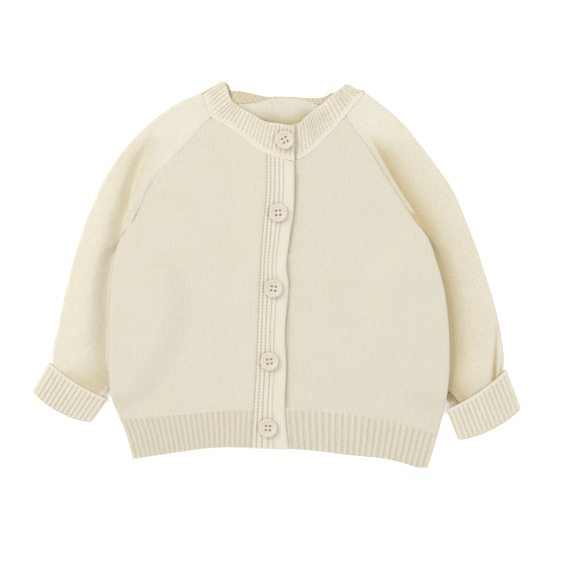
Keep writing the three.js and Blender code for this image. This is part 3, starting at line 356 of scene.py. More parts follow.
# %% [markdown]
# ## From a grid of points to a sheet with two faces
# Cloth is a sheet with a thickness, so each piece needs a face that shows, a face behind it and a
# rounded rim between them. A Solidify modifier could give a flat sheet its thickness, but here the
# ribs rise only on the outside, so both faces are laid out as grids and a rim closes them. The
# piece also gets a map that says, in millimetres along the cloth, where each point lies in the
# knitting: the yarn pattern then follows the cloth and not the room. Up to four marks ride on its
# points for the material: painted shade in the grooves between ribs (below zero a painted
# highlight), painted warm shade in the valleys, and the fashioning's place and beat. A list of
# marks fills the face that shows first, then the one behind it, and the rest stay 0.

# %% Build a closed sheet
def grid_faces(rows, cols, closed):
    stride = cols + 1 if closed else cols
    i, j = np.meshgrid(np.arange(rows - 1), np.arange(cols if closed else cols - 1), indexing="ij")
    i, j = i.ravel(), j.ravel()
    points, places = [], []
    for di, dj in ((0, 0), (0, 1), (1, 1), (1, 0)):
        points.append((i + di) * cols + (j + dj) % cols)
        places.append((i + di) * stride + j + dj)
    return np.stack(points, 1), np.stack(places, 1)


def rim_loops(rows, cols, closed):
    if closed:
        return [[(0, j, 1, j) for j in range(cols)], [(rows - 1, j, rows - 2, j) for j in range(cols)]]
    right, end = cols - 1, rows - 1
    loop = [(0, j) for j in range(cols)] + [(i, right) for i in range(1, rows)]
    loop += [(end, j) for j in range(right - 1, -1, -1)] + [(i, 0) for i in range(end - 1, 0, -1)]
    return [[(i, j, min(max(i, 1), end - 1), min(max(j, 1), right - 1)) for i, j in loop]]


RIM = 0.3


def sheet(name, show, behind, cloth, closed=False, groove=None, valley=None, strokes=None):
    rows, cols = show.shape[:2]
    stride = cols + 1 if closed else cols
    count = rows * cols
    points = [show.reshape(-1, 3), behind.reshape(-1, 3)]
    faces, places = grid_faces(rows, cols, closed)
    all_faces = [faces, faces[:, ::-1] + count]
    all_places = [places, places[:, ::-1]]
    total = 2 * count
    for loop in rim_loops(rows, cols, closed):
        edge = np.array([i * cols + j for i, j, _, _ in loop])
        inner = np.array([i * cols + j for _, _, i, j in loop])
        place = np.array([i * stride + j for i, j, _, _ in loop])
        above, below = points[0][edge], points[1][edge]
        away = (above + below - points[0][inner] - points[1][inner]) / 2
        away /= np.maximum(np.linalg.norm(away, axis=1, keepdims=True), 1e-6)
        thick = np.linalg.norm(above - below, axis=1, keepdims=True)
        points.append((above + below) / 2 + away * thick * RIM)
        following = np.roll(edge, -1)
        next_place = place + 1 if closed else np.roll(place, -1)
        middle = np.arange(len(edge)) + total
        next_middle = np.roll(middle, -1)
        total += len(edge)
        all_faces.append(np.stack([edge, following, next_middle, middle], 1))
        all_faces.append(np.stack([middle, next_middle, following + count, edge + count], 1))
        all_places += [np.stack([place, next_place, next_place, place], 1)] * 2
    points = np.concatenate(points)
    points[:, 2] = np.maximum(points[:, 2], 0)
    faces = np.concatenate(all_faces)
    mesh = bpy.data.meshes.new(name)
    mesh.from_pydata((points * MM).tolist(), [], faces.tolist())
    spots = cloth.reshape(-1, 2)[np.concatenate(all_places)].reshape(-1, 2)
    mesh.uv_layers.new(name="cloth").data.foreach_set("uv", spots.ravel())
    # groove carries painted shade in rib grooves and seam dots, below zero a painted highlight; valley
    # carries painted warm shade
    for key, values in (("groove", groove), ("valley", valley), *(strokes or {}).items()):
        marks = np.zeros(total)
        if values is not None:
            marks[:np.size(values)] = np.ravel(values)
        mesh.attributes.new(key, "FLOAT", "POINT").data.foreach_set("value", marks)
    inside = np.zeros(len(faces), int)
    inside[len(all_faces[0]):2 * len(all_faces[0])] = 1
    mesh.polygons.foreach_set("material_index", inside)
    work = bmesh.new()
    work.from_mesh(mesh)
    bmesh.ops.recalc_face_normals(work, faces=work.faces)
    work.to_mesh(mesh)
    work.free()
    mesh.shade_smooth()
    piece = bpy.data.objects.new(name, mesh)
    bpy.context.scene.collection.objects.link(piece)
    return piece


print("a sheet's rim bulges", RIM * WALL, "mm")

# %% [markdown]
# ## Soft folds
# Laid knitwear is never quite flat: it keeps soft ridges where it was pulled straight, and dimples
# near seams. Each one is placed as a line with a height and a width, and it fades out
# towards its ends. Ridges only rise, so a sheet never sinks into the one under it.

# %% Fold tables
FOLD_COLUMNS = ["x0", "y0", "x1", "y1", "height", "width"]
BODY_FOLDS = columns(FOLD_COLUMNS, [
    [-108, 30, -112, -104, 0.5, 12], [-84, 70, -88, -60, 0.3, 14], [-58, 90, -60, 0, 0.4, 13],
    [-42, 20, -44, -96, 0.35, 14], [-72, -40, -70, -118, 0.35, 12], [42, 80, 40, -20, 0.4, 13],
    [66, 60, 70, -70, 0.35, 14], [96, 30, 98, -104, 0.5, 13], [122, 0, 124, -112, 0.6, 10],
    [30, -30, 32, -112, 0.3, 10],
])
SLEEVE_FOLDS = columns(FOLD_COLUMNS, [
    [-110, 120, -134, 24, 1.6, 6], [-150, 78, -170, 10, 0.9, 9], [-166, -10, -176, -70, 1.2, 9],
    [-186, 10, -190, -50, 0.8, 6], [-160, 30, -182, -8, 0.7, 8], [-164, -50, -192, -68, 0.7, 6],
    [86, 114, 108, 76, 1.3, 5], [118, 104, 150, 30, 0.9, 9], [160, 60, 180, 0, 0.8, 9],
    [172, -10, 186, -70, 1.3, 9], [190, -30, 200, -72, 1.1, 5], [168, -40, 176, -90, 0.8, 7],
    [176, -58, 204, -74, 0.8, 5],
])


def lifts(folds, x, y):
    total = np.zeros(np.shape(x))
    for fold in folds:
        ax, ay, bx, by = fold["x0"], fold["y0"], fold["x1"], fold["y1"]
        length = math.hypot(bx - ax, by - ay)
        along = ((x - ax) * (bx - ax) + (y - ay) * (by - ay)) / length
        aside = ((x - ax) * (by - ay) - (y - ay) * (bx - ax)) / length
        bend = 3 * np.sin(along / 23 + ax)
        ends = ease(1.2 * along / length + 0.1) * ease(1.1 - 1.2 * (along - length * 0.1) / length)
        total += fold["height"] * np.exp(-(((aside - bend) / fold["width"]) ** 2)) * ends
    return total


print(len(BODY_FOLDS), "folds on the body and", len(SLEEVE_FOLDS), "on the sleeves")

# %% [markdown]
# ## Warm shadows in the valleys
# Deep between two layers of cream wool, light bounces from yarn to yarn and turns warm. A renderer
# with few bounces and a bright room shows this too weakly, so it is painted on as warm shade. Each
# painted shadow is drawn as a soft line with a width and a depth, and the lines become a mark on
# the points.

# %% Warm shadows in the valleys
THIN_START = 0.4
SHADE_COLUMNS = ["x0", "y0", "x1", "y1", "width", "depth"]
# Painted shadow on the right front along the free edge of the upper button band.
BODY_SHADES = columns(SHADE_COLUMNS, [
    [19, 88, 17, 60, 1.6, 0.5], [17, 60, 12, 20, 2, 0.35], [12, 10, 11, -10, 1.6, 0.5],
    [10, -30, 9.5, -120, 1.6, 0.45],
])
# Painted shade above the left cuff and along the left sleeve's crease.
SLEEVE_SHADES = columns(SHADE_COLUMNS, [
    [-186, -91, -168, -100, 4, 0.5], [-176, -86, -158, -102, 8, 0.25], [-112, 118, -134, 60, 5, 0.3],
    [-134, 60, -140, 34, 5, 0.25],
])
# Painted shadow of a fold on the right sleeve, a wedge that widens towards the cuff.
WEDGE_SHADES = columns(SHADE_COLUMNS, [
    [198.6, -40, 195.6, -97, 2.1, 1.5], [203.5, -78, 200.8, -93, 1.5, 1],
])
# Painted shadow in the dark corner where the right sleeve enters its cuff.
CORNER_SHADE = columns(SHADE_COLUMNS, [[152, -105, 165, -114.5, 4.5, 1.9]])


def shadows(table, x, y, growing=0):
    total = np.zeros(np.shape(x))
    for row in table:
        ax, ay, bx, by = row["x0"], row["y0"], row["x1"], row["y1"]
        length = (bx - ax) ** 2 + (by - ay) ** 2
        t = np.clip(((x - ax) * (bx - ax) + (y - ay) * (by - ay)) / length, 0, 1)
        away = np.hypot(x - mix(ax, bx, t), y - mix(ay, by, t))
        grown = mix(1, t, growing)
        width = row["width"] * mix(THIN_START, 1, grown)
        total = np.maximum(total, row["depth"] * grown * np.exp(-((away / width) ** 2)))
    return total


print(len(BODY_SHADES) + len(SLEEVE_SHADES), "shadow lines")

# %% [markdown]
# ## The knit as a material
# Plain knitting is columns of small V-shaped stitches, 2.5 mm wide and 1.7 mm high here, too many
# to model. Maths nodes draw one V from the cloth map and repeat it: the distance from a column's
# middle tilts the rows, which gives the two legs of each V. The same height drives a bump and a
# slight painted shade between the stitches. Noise adds the soft nap and the unevenness of real yarn.
# The marks on the points do the rest: a groove mark paints shade into rib grooves and is dotted
# stitch by stitch where it is deep, and below zero it paints a highlight; a valley mark paints warm
# shade; and fashioning draws light slanted strokes beside the raglan seams.

# %% Node helpers
WALE = 2.5
COURSE = 1.7


def maths(tree, operation, *values):
    node = tree.nodes.new("ShaderNodeMath")
    node.operation = operation
    for socket, value in zip(node.inputs, values):
        if isinstance(value, (int, float)):
            socket.default_value = value
        else:
            tree.links.new(value, socket)
    return node.outputs[0]


def noise(tree, coordinates, scale, detail):
    node = tree.nodes.new("ShaderNodeTexNoise")
    node.inputs["Scale"].default_value = scale
    node.inputs["Detail"].default_value = detail
    tree.links.new(coordinates, node.inputs["Vector"])
    return node.outputs["Fac"]


def attribute(tree, name):
    node = tree.nodes.new("ShaderNodeAttribute")
    node.attribute_name = name
    return node.outputs["Fac"]


def colour_mix(tree, factor, first, second):
    node = tree.nodes.new("ShaderNodeMix")
    node.data_type = "RGBA"
    for socket, value in ((0, factor), (6, first), (7, second)):
        if isinstance(value, tuple):
            node.inputs[socket].default_value = (*value, 1)
        else:
            tree.links.new(value, node.inputs[socket])
    return node.outputs[2]


print("one stitch is", WALE, "by", COURSE, "mm")

# %% Yarn materials
STITCH_SLANT = 0.75
ROW_WAVE = 0.14
ROW_HEIGHT = 0.4
COLUMN_HEIGHT = 0.46
PURL_WAVE = 0.16
YARN_SHADE = 0.29
NAP = 0.35
BLOTCH = 0.2
SPECKLE = 0.6
FUZZ_SCALE = 900
MOTTLE_SCALE = 420
BLOTCH_SCALE = 26
# The tint that the valley mark multiplies into the yarn: painted warm shade.
WARM_SHADE = (0.77, 0.665, 0.46)
DOT_PITCH = 3.0
DOT_START = 0.6
DOT_SHADE = 1.7
GROOVE_SHADE = 0.6
GROOVE_SINK = 1.8
FASHION_SHADE = 0.15
FASHION_RISE = 0.5
YARN_RELIEF = 0.4 * MM


def knit_material(name, base, shade, wrong_side=False):
    material = bpy.data.materials.new(name)
    material.use_nodes = True
    tree = material.node_tree
    shader = tree.nodes["Principled BSDF"]
    place = tree.nodes.new("ShaderNodeTexCoord").outputs["Object"]
    spot = tree.nodes.new("ShaderNodeUVMap")
    spot.uv_map = "cloth"
    split = tree.nodes.new("ShaderNodeSeparateXYZ")
    tree.links.new(spot.outputs["UV"], split.inputs[0])
    across = maths(tree, "DIVIDE", split.outputs[0], WALE)
    along = maths(tree, "DIVIDE", split.outputs[1], COURSE)
    side = maths(tree, "MULTIPLY", maths(tree, "PINGPONG", across, 0.5), 2)
    if wrong_side:
        wave = maths(tree, "SINE", maths(tree, "MULTIPLY", across, math.tau))
        wave = maths(tree, "MULTIPLY", wave, PURL_WAVE)
        turn = maths(tree, "MULTIPLY", maths(tree, "ADD", along, wave), math.tau)
        height = maths(tree, "MULTIPLY_ADD", maths(tree, "SINE", turn), 0.5, 0.5)
    else:
        leg = maths(tree, "SINE", maths(tree, "MULTIPLY", side, math.pi))
        slanted = maths(tree, "MULTIPLY_ADD", side, STITCH_SLANT, along)
        turn = maths(tree, "SINE", maths(tree, "MULTIPLY", slanted, math.tau))
        row = maths(tree, "MULTIPLY_ADD", turn, ROW_WAVE, ROW_HEIGHT)
        column = maths(tree, "SINE", maths(tree, "MULTIPLY", side, math.pi / 2))
        height = maths(tree, "MULTIPLY_ADD", leg, row, maths(tree, "MULTIPLY", column, COLUMN_HEIGHT))
    fuzz = noise(tree, place, FUZZ_SCALE, 3)
    blotch = noise(tree, place, BLOTCH_SCALE, 3)
    mottle = noise(tree, place, MOTTLE_SCALE, 2)
    groove, valley = attribute(tree, "groove"), attribute(tree, "valley")
    fashioned, turns = attribute(tree, "fashioned"), attribute(tree, "turns")
    # Painted shade from the groove mark, dotted stitch by stitch where it is deep; below zero it is a
    # painted highlight.
    beat = maths(tree, "SINE", maths(tree, "MULTIPLY", split.outputs[1], math.tau / DOT_PITCH))
    past = maths(tree, "MAXIMUM", maths(tree, "SUBTRACT", groove, DOT_START), 0)
    deep = maths(tree, "MULTIPLY", past, beat)
    dots = maths(tree, "MULTIPLY_ADD", deep, DOT_SHADE, maths(tree, "MULTIPLY", groove, GROOVE_SHADE))
    stripe = maths(tree, "SINE", maths(tree, "MULTIPLY", turns, math.tau))
    strokes = maths(tree, "MULTIPLY", fashioned, stripe)
    # Painted shade in the hollows between stitches.
    hollow = maths(tree, "SUBTRACT", 1, height)
    uneven = maths(tree, "MULTIPLY_ADD", blotch, BLOTCH, -BLOTCH / 2)
    uneven = maths(tree, "ADD", uneven, maths(tree, "MULTIPLY_ADD", mottle, SPECKLE, -SPECKLE / 2))
    uneven = maths(tree, "ADD", uneven, maths(tree, "MULTIPLY_ADD", fuzz, SPECKLE, -SPECKLE / 2))
    amount = maths(tree, "ADD", maths(tree, "MULTIPLY_ADD", hollow, YARN_SHADE, uneven), dots)
    amount = maths(tree, "MULTIPLY_ADD", strokes, -FASHION_SHADE, amount)
    amount = maths(tree, "MINIMUM", maths(tree, "MAXIMUM", amount, 0), 1)
    yarn = colour_mix(tree, amount, base, shade)
    # The valley mark multiplies in the painted warm shade.
    shaded = tree.nodes.new("ShaderNodeMix")
    shaded.data_type = "RGBA"
    shaded.blend_type = "MULTIPLY"
    tree.links.new(valley, shaded.inputs[0])
    tree.links.new(yarn, shaded.inputs[6])
    shaded.inputs[7].default_value = (*WARM_SHADE, 1)
    tree.links.new(shaded.outputs[2], shader.inputs["Base Color"])
    relief = maths(tree, "MULTIPLY_ADD", strokes, FASHION_RISE, height)
    relief = maths(tree, "MULTIPLY_ADD", fuzz, NAP, relief)
    relief = maths(tree, "SUBTRACT", relief, maths(tree, "MULTIPLY", dots, GROOVE_SINK))
    bump = tree.nodes.new("ShaderNodeBump")
    bump.inputs["Strength"].default_value = 0.6
    bump.inputs["Distance"].default_value = YARN_RELIEF
    tree.links.new(relief, bump.inputs["Height"])
    tree.links.new(bump.outputs["Normal"], shader.inputs["Normal"])
    shader.inputs["Roughness"].default_value = 0.95
    shader.inputs["Specular IOR Level"].default_value = 0.15
    shader.inputs["Sheen Weight"].default_value = 0.06
    shader.inputs["Sheen Roughness"].default_value = 0.5
    shader.inputs["Sheen Tint"].default_value = (1.0, 0.96, 0.86, 1)
    return material


# All these are the same cream yarn. The plain, front, hem, band and rib bases differ only in brightness,
# the cuffs and neckband lightest and the fronts darkest, which paints light and shade into the colour. The
# shade colour serves painted shade in grooves and hollows as well as the yarn's uneven tone.
CREAM = (0.745, 0.71, 0.6)
CREAM_SHADE = (0.54, 0.48, 0.34)
FRONT_CREAM = (0.683, 0.648, 0.54)
HEM_CREAM = (0.7, 0.657, 0.545)
BAND_CREAM = (0.735, 0.70, 0.587)
RIB_CREAM = (0.775, 0.73, 0.613)
PURL_CREAM = (0.71, 0.68, 0.595)
plain_knit = knit_material("cream plain knit", CREAM, CREAM_SHADE)
purl_knit = knit_material("cream wrong side", PURL_CREAM, CREAM_SHADE, wrong_side=True)
rib_knit = knit_material("cream ribbed knit", RIB_CREAM, CREAM_SHADE)
front_knit = knit_material("cream front knit", FRONT_CREAM, CREAM_SHADE)
hem_knit = knit_material("cream hem rib", HEM_CREAM, CREAM_SHADE)
band_knit = knit_material("cream band rib", BAND_CREAM, CREAM_SHADE)
print("six knit materials, from", plain_knit.name, "to", band_knit.name)

# %% Hand a finished sheet to the frame
def finish_sheet(piece, nodes, outside, inside):
    piece.data.materials.append(outside)
    piece.data.materials.append(inside)
    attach(piece, "root")
    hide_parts(*([nodes] if isinstance(nodes, str) else nodes))
    print(piece.name, "has", len(piece.data.polygons), "faces")


# %% [markdown]
# ## Fronts, back, hems and bands
# These pieces lie flat, so each is a grid of rows across the garment between two of its edges. The
# first and last rows bend to the neck or hem line. The height of every point is the layer's
# underside at that place, then the cloth's thickness, then the folds. Next to a seam the cloth
# dips a little, because the sewing pulls it in, and that soft groove is what the eye reads as a seam.

# %% A piece that lies flat
LINE_PASSES = 4
SEAM_WIDTH = 2.2
SEAM_DIP = 0.55


def near_edge(distance, width=SEAM_WIDTH):
    return np.clip(1 - distance / width, 0, 1) ** 2


def laid_piece(heights, shares, left, right, under, thick, folds=(), top=None, bottom=None, groove=None):
    y0 = np.array(heights, float)[:, None] + np.zeros(len(shares))
    share = np.array(shares, float) + np.zeros_like(y0)
    near_top = 1 - np.clip((heights[0] - y0) / top[1], 0, 1) if top else 0
    near_bottom = 1 - np.clip((y0 - heights[-1]) / bottom[1], 0, 1) if bottom else 0
    y = y0
    for _ in range(LINE_PASSES):
        x = mix(left(y), right(y), share)
        y = y0
        if top:
            y = mix(y, top[0](x), near_top)
        if bottom:
            y = mix(y, bottom[0](x), near_bottom)
    lift = lifts(folds, x, y) if len(folds) else 0
    z = under(x, y) + lift
    wide = np.abs(right(y) - left(y))
    rise = thick(share, wide, y0)
    show = np.stack([x, y, z + rise], 2)
    behind = np.stack([x, y, z], 2)
    cloth = np.stack([x - band_line(y), y], 2)
    marks = None if groove is None else groove(share) + np.zeros_like(y0)
    return show, behind, cloth, marks


FASHION_TOP = 138
FASHION_END = 42
FASHION_REACH = 6.5
FASHION_PITCH = 3
FASHION_LEAN = 0.9
RAGLAN_SLOPE = 0.73


def fashioned(away, y, showing=1):
    beside = ease((away - 0.6) / 1.2) * ease((FASHION_REACH - away) / 3)
    weight = beside * ease((y - FASHION_END) / 25) * ease((FASHION_TOP - y) / 6)
    turns = ((FASHION_TOP - y) / RAGLAN_SLOPE - FASHION_LEAN * away) / FASHION_PITCH
    return {"fashioned": weight * showing, "turns": turns + 0 * away}


def spaced(start, end, step):
    return np.linspace(start, end, max(2, round(abs(end - start) / step) + 1))


print("seams dip", SEAM_DIP, "mm")

# %% Fronts
BODY_STEP = 2.0
BODY_HEM_REACH = 70
BODY_BOTTOM = -127
BACK_NECK_REACH = 14
FRONT_HIDDEN = 2.4
NECK_CORNER_LEFT = -8.6
NECK_CORNER_RIGHT = 17.6


def neck_inner(seam, shoulder, corner):
    x = np.linspace(shoulder, corner, 9)
    return line_through([{"x": a, "y": float(seam(a))} for a in x], "y", "x")


neck_seam_left = neck_inner(neck_left, FRONT_EDGE_LEFT[0]["x"], NECK_CORNER_LEFT)
neck_seam_right = neck_inner(neck_right, FRONT_EDGE_RIGHT[0]["x"], NECK_CORNER_RIGHT)


def button_edge(y):
    return band_edge(y) - FRONT_HIDDEN


def neck_inner_left(y):
    past = y > neck_left(NECK_CORNER_LEFT)
    return np.where(past, np.minimum(neck_seam_left(y), band_line(BAND_TOP_Y)), band_line(y))


def neck_inner_right(y):
    past = y > neck_right(NECK_CORNER_RIGHT)
    return np.where(past, np.maximum(neck_seam_right(y), button_edge(y)), button_edge(y))


def plain_wall(share, wide, y0):
    sides = near_edge(share * wide) + near_edge((1 - share) * wide)
    return WALL - SEAM_DIP * np.clip(sides, 0, 1)


def moved(line, by):
    return lambda y: line(y) + by


PANEL_SHARES = np.concatenate([[0, 0.005, 0.012], np.linspace(0.02, 0.98, 62), [0.988, 0.995, 1]])
hem_bend = (moved(hem_line, SEAM), BODY_HEM_REACH)
PANELS = columns(["name", "top", "left", "right", "under"], [
    ["front_left", 140.4, moved(front_left, SEAM), moved(neck_inner_left, -SEAM), upper_under],
    ["front_right", 141.6, moved(front_right, -SEAM), moved(neck_inner_right, SEAM), lower_under],
])
for panel in PANELS:
    rows = spaced(panel["top"], BODY_BOTTOM, BODY_STEP)
    show, behind, cloth, _ = laid_piece(
        rows, PANEL_SHARES, panel["left"], panel["right"], panel["under"], plain_wall,
        BODY_FOLDS, bottom=hem_bend,
    )
    x, y = show[..., 0], show[..., 1]
    raglan = panel["left" if panel["name"] == "front_left" else "right"]
    beside = np.abs(x - raglan(y)) * RAGLAN_SLOPE
    away = np.where(y > FASHION_END - 2, beside, FASHION_REACH)
    strokes = fashioned(away, y)
    # Painted shadow on the right front beside the upper button band's free edge.
    painted_shade = shadows(BODY_SHADES, x, y)
    piece = sheet("knit_" + panel["name"], show, behind, cloth, valley=painted_shade, strokes=strokes)
    finish_sheet(piece, panel["name"], front_knit, purl_knit)

# %% [markdown]
# The back shows only inside the neck, where its wrong side is up. Its top edge rolls up a little in
# the middle, and its corner at the right armpit is drawn in, where it would show beside the front.

# %% The back
BACK_TOP = 151
BACK_STEP = 2.5
BACK_SHARES = np.linspace(0, 1, 111)
BACK_ROLL = 1.6
ARMPIT_TRIM = 5
ARMPIT_Y = 38
ARMPIT_HEIGHT = 6
NECK_LOW = 138


def back_trimmed(y):
    return back_right(y) - SEAM - ARMPIT_TRIM * np.exp(-(((y - ARMPIT_Y) / ARMPIT_HEIGHT) ** 2))


def back_top(x):
    return neck_back(x) - SEAM + BACK_ROLL * ease((x + 16) / 10) * ease((36 - x) / 10)


show, behind, cloth, _ = laid_piece(
    spaced(BACK_TOP, BODY_BOTTOM, BACK_STEP), BACK_SHARES, moved(back_left, SEAM), back_trimmed,
    back_under, plain_wall, top=(back_top, BACK_NECK_REACH), bottom=hem_bend,
)
# Painted shadow on the back inside the neck, below the neckband's free edge: wide and deep at the bottom of
# the neck, narrow and faint at the sides.
in_front = [(row["freeX"], row["freeY"]) for row in NECKBAND if row["lay"] in ("upper", "lower")]
edges = []
for (ax, ay), (bx, by) in zip(in_front, in_front[1:]):
    low = (ay + by) / 2 < NECK_LOW
    edges.append(dict(x0=ax, y0=ay, x1=bx, y1=by, width=8 if low else 4, depth=0.9 if low else 0.25))
painted_shade = shadows(edges, show[..., 0], show[..., 1]).ravel()
neck_painted_shade = np.concatenate([0 * painted_shade, painted_shade])
knit_back = sheet("knit_back", behind, show, cloth, valley=neck_painted_shade)
finish_sheet(knit_back, "back", plain_knit, purl_knit)

# %% [markdown]
# ## Ribs
# A rib is two columns of plain stitches that stand up and one that sinks back. Its section is a
# short table, repeated across a piece. Modelled ribs catch the light at their edges as the real
# ones do, which a bump alone would lose in a view from the side.

# %% Rib section
RIB_SECTION = columns(["place", "rise"], [
    [0, 0], [0.05, 0.5], [0.13, 0.9], [0.34, 1], [0.56, 0.9], [0.66, 0.5], [0.74, 0.05], [0.87, -0.04],
])
RIB_UNIT = 3 * WALE
RIB_GROOVE_SHADE = 0.45
HEM_RIB_RISE = 1


def rib_shares(ribs):
    return np.array([(n + row["place"]) / ribs for n in range(ribs) for row in RIB_SECTION] + [1])


def rib_rises(ribs):
    return np.array([row["rise"] for _ in range(ribs) for row in RIB_SECTION] + [0])


# How much painted shade the groove between ribs gets at each point of the section.
def rib_grooves(rises):
    return RIB_GROOVE_SHADE * (1 - np.clip(rises, 0, 1)) ** 1.5


print(len(RIB_SECTION), "points on each rib")

# %% Hem bands
HEM_TOP = -126
HEM_BOTTOM = -160
HEM_RIBS = 24
HEM_DEPTHS = np.r_[0, 0.5, 1, 1.5, 2, 2.6, 3.4, np.linspace(5, 29, 10), 31, 32.5, 33.4, 34]
LINK_PITCH = 2.1
LINK_RISE = 0.7
# LINK_LIGHT sets a painted highlight along the raised linking row at the top of the hem.
LINK_LIGHT = 0.9
LINK_DOWN = 1.1


def hem_band(name, left, right, under, ribbed):
    ribs = HEM_RIBS if ribbed else 2 * HEM_RIBS
    rises = rib_rises(ribs)
    deep = HEM_TOP - HEM_BOTTOM

    def thick(share, wide, y0):
        down = HEM_TOP - y0
        ends = near_edge(down, 4.5) + near_edge(y0 - HEM_BOTTOM, 2)
        raised = HEM_RIB_RISE * rises * (1 - 0.8 * np.clip(ends, 0, 1))
        beat = 0.5 + 0.5 * np.sin(math.tau * share * wide / LINK_PITCH)
        row = np.exp(-(((down - LINK_DOWN) / 0.9) ** 2)) * beat
        return RIB_WALL + 0.3 * (down < 3.4) + ((raised + LINK_RISE * row) if ribbed else 0)

    show, behind, cloth, _ = laid_piece(
        HEM_TOP - HEM_DEPTHS, rib_shares(ribs), left, right, under, thick,
        top=(moved(hem_line, 0.6), deep), bottom=(hem_edge, deep),
    )
    cloth[..., 0] = rib_shares(ribs) * ribs * RIB_UNIT
    if ribbed:
        # Painted shade in the rib grooves, fading in below the top, minus a painted highlight on the
        # linking row.
        start = 1 - near_edge(HEM_DEPTHS, 6)[:, None]
        light = LINK_LIGHT * np.exp(-(((HEM_DEPTHS - LINK_DOWN) / 1.1) ** 2))[:, None]
        return sheet("rib_" + name, show, behind, cloth, groove=rib_grooves(rises) * start - light)
    return sheet("rib_" + name, behind, show, cloth)


hem = hem_band("hem_front_left", moved(front_left, SEAM), moved(band_line, -SEAM), upper_under, True)
finish_sheet(hem, "hem_front_left", hem_knit, hem_knit)
hem = hem_band("hem_front_right", moved(front_right, -SEAM), moved(button_edge, SEAM), lower_under, True)
finish_sheet(hem, "hem_front_right", hem_knit, hem_knit)
hem = hem_band("hem_back", moved(back_left, SEAM), moved(back_right, -SEAM), back_under, False)
finish_sheet(hem, "hem_back", hem_knit, hem_knit)

# %% Button bands
BAND_TOP = 103
BAND_BOTTOM = -158
BAND_STEP = 1.5
BAND_TOP_REACH = 26
BAND_END_REACH = 30
BAND_UNDER_WALL = 2
BAND_UNDER_SHARES = np.linspace(0, 1, 22)
# The groove column paints shade into the rib grooves and seam dots, and below zero a highlight on the
# ridges and the raised free edge.
BAND_SECTION = columns(["share", "rise", "groove"], [
    [0, 0.2, 1], [0.016, 0.3, 1.05], [0.034, 0.4, 0.2], [0.055, 0.8, -0.1], [0.09, 0.9, -0.2],
    [0.112, 0.75, 0], [0.128, 0.35, 0.8], [0.14, 0.25, 1.1], [0.152, 0.35, 0.8], [0.168, 0.75, 0],
    [0.19, 0.85, -0.2], [0.24, 0.9, -0.2], [0.262, 0.75, 0], [0.278, 0.4, 0.7], [0.29, 0.3, 1],
    [0.302, 0.4, 0.7], [0.318, 0.75, 0], [0.34, 0.85, -0.2], [0.405, 0.9, -0.2], [0.427, 0.75, 0],
    [0.443, 0.45, 0.65], [0.455, 0.35, 0.95], [0.467, 0.45, 0.65], [0.483, 0.75, 0], [0.505, 0.85, -0.2],
    [0.55, 0.85, -0.15], [0.572, 0.8, 0], [0.588, 0.6, 0.5], [0.6, 0.5, 0.72], [0.612, 0.6, 0.5],
    [0.628, 0.8, 0], [0.65, 0.85, -0.1], [0.68, 0.85, -0.1], [0.76, 0.9, -0.2], [0.85, 0.92, -0.25],
    [0.92, 0.8, -0.25], [0.96, 0.5, -0.2], [0.985, 0.1, 0], [1, -0.4, 0.2],
])
band_shares = np.array([row["share"] for row in BAND_SECTION])
band_rises = np.array([row["rise"] for row in BAND_SECTION])
band_grooves = np.array([row["groove"] for row in BAND_SECTION])


def above_sheet(x, y):
    return lower_under(x, y) + OVERLAP_LIFT


show, behind, cloth, marks = laid_piece(
    spaced(BAND_TOP, BAND_BOTTOM, BAND_STEP), band_shares, moved(band_line, SEAM), band_edge,
    above_sheet, lambda share, wide, y0: RIB_WALL + RIB_RISE * band_rises + 0 * y0,
    top=(moved(neck_left, -SEAM), BAND_TOP_REACH), bottom=(hem_edge, BAND_END_REACH),
    groove=lambda share: band_grooves,
)
band = sheet("rib_button_band_upper", show, behind, cloth, groove=marks)
finish_sheet(
    band, "button_band_upper", band_knit, band_knit
)
show, behind, cloth, _ = laid_piece(
    spaced(BAND_TOP, BAND_BOTTOM, 2 * BAND_STEP), BAND_UNDER_SHARES, moved(band_line, SEAM),
    moved(button_edge, -0.5), lower_under, lambda share, wide, y0: BAND_UNDER_WALL + 0 * share,
    top=(moved(neck_right, -SEAM), BAND_TOP_REACH), bottom=(hem_edge, BAND_END_REACH),
)
band = sheet("rib_button_band_under", show, behind, cloth)
finish_sheet(band, "button_band_under", rib_knit, rib_knit)

# %% [markdown]
# ## Sleeves
# A sleeve could be a cylinder squeezed flat, but its edge at the shoulder is a long slanted seam
# and its crown is higher than its rim. So each section is drawn as a maker would cut through it:
# up from the seam to a crest, down into a valley beside the body, over the crown, round the outer
# fold and back underneath. The sections between the rows of the table come from smooth curves.
# The painted warm shade starts at the crest where the sleeve is sewn on, and at the body's edge below.

# %% One section of a sleeve, for many sections at once
SLEEVE_STEP = 2.4
WAYS_UP = [8, 8, 18, 24]
TURN_SPANS = 12
BACK_SPANS = 14
BACK_RISE = 30
LOOKS_ALONG = 160
# Depth, width, inner reach and start of the painted warm shade beside the body, for each side; the numbers
# below shape the same painted shade.
VALLEY_SHADES = {-1: (0.44, 9, 9, 1), 1: (0.95, 12, 5, -1)}
VALLEY_SOFT = 3
ARMPIT_TOP = 58
ARMPIT_SOFT = 14
SHADE_TOP = 130
SHADE_SOFT = 28
WEDGE_DARK = 0.5
CORNER_DARK = 0.55


def hidden_length(inner, outer, edge, side):
    shares = np.linspace(0, 1, LOOKS_ALONG + 1)
    x = inner[0] + (outer[0] - inner[0]) * shares
    y = inner[1] + (outer[1] - inner[1]) * shares
    covered = shares[side * (edge(y) - x) > 0]
    length = math.hypot(outer[0] - inner[0], outer[1] - inner[1])
    return length * covered[-1] if len(covered) else 0


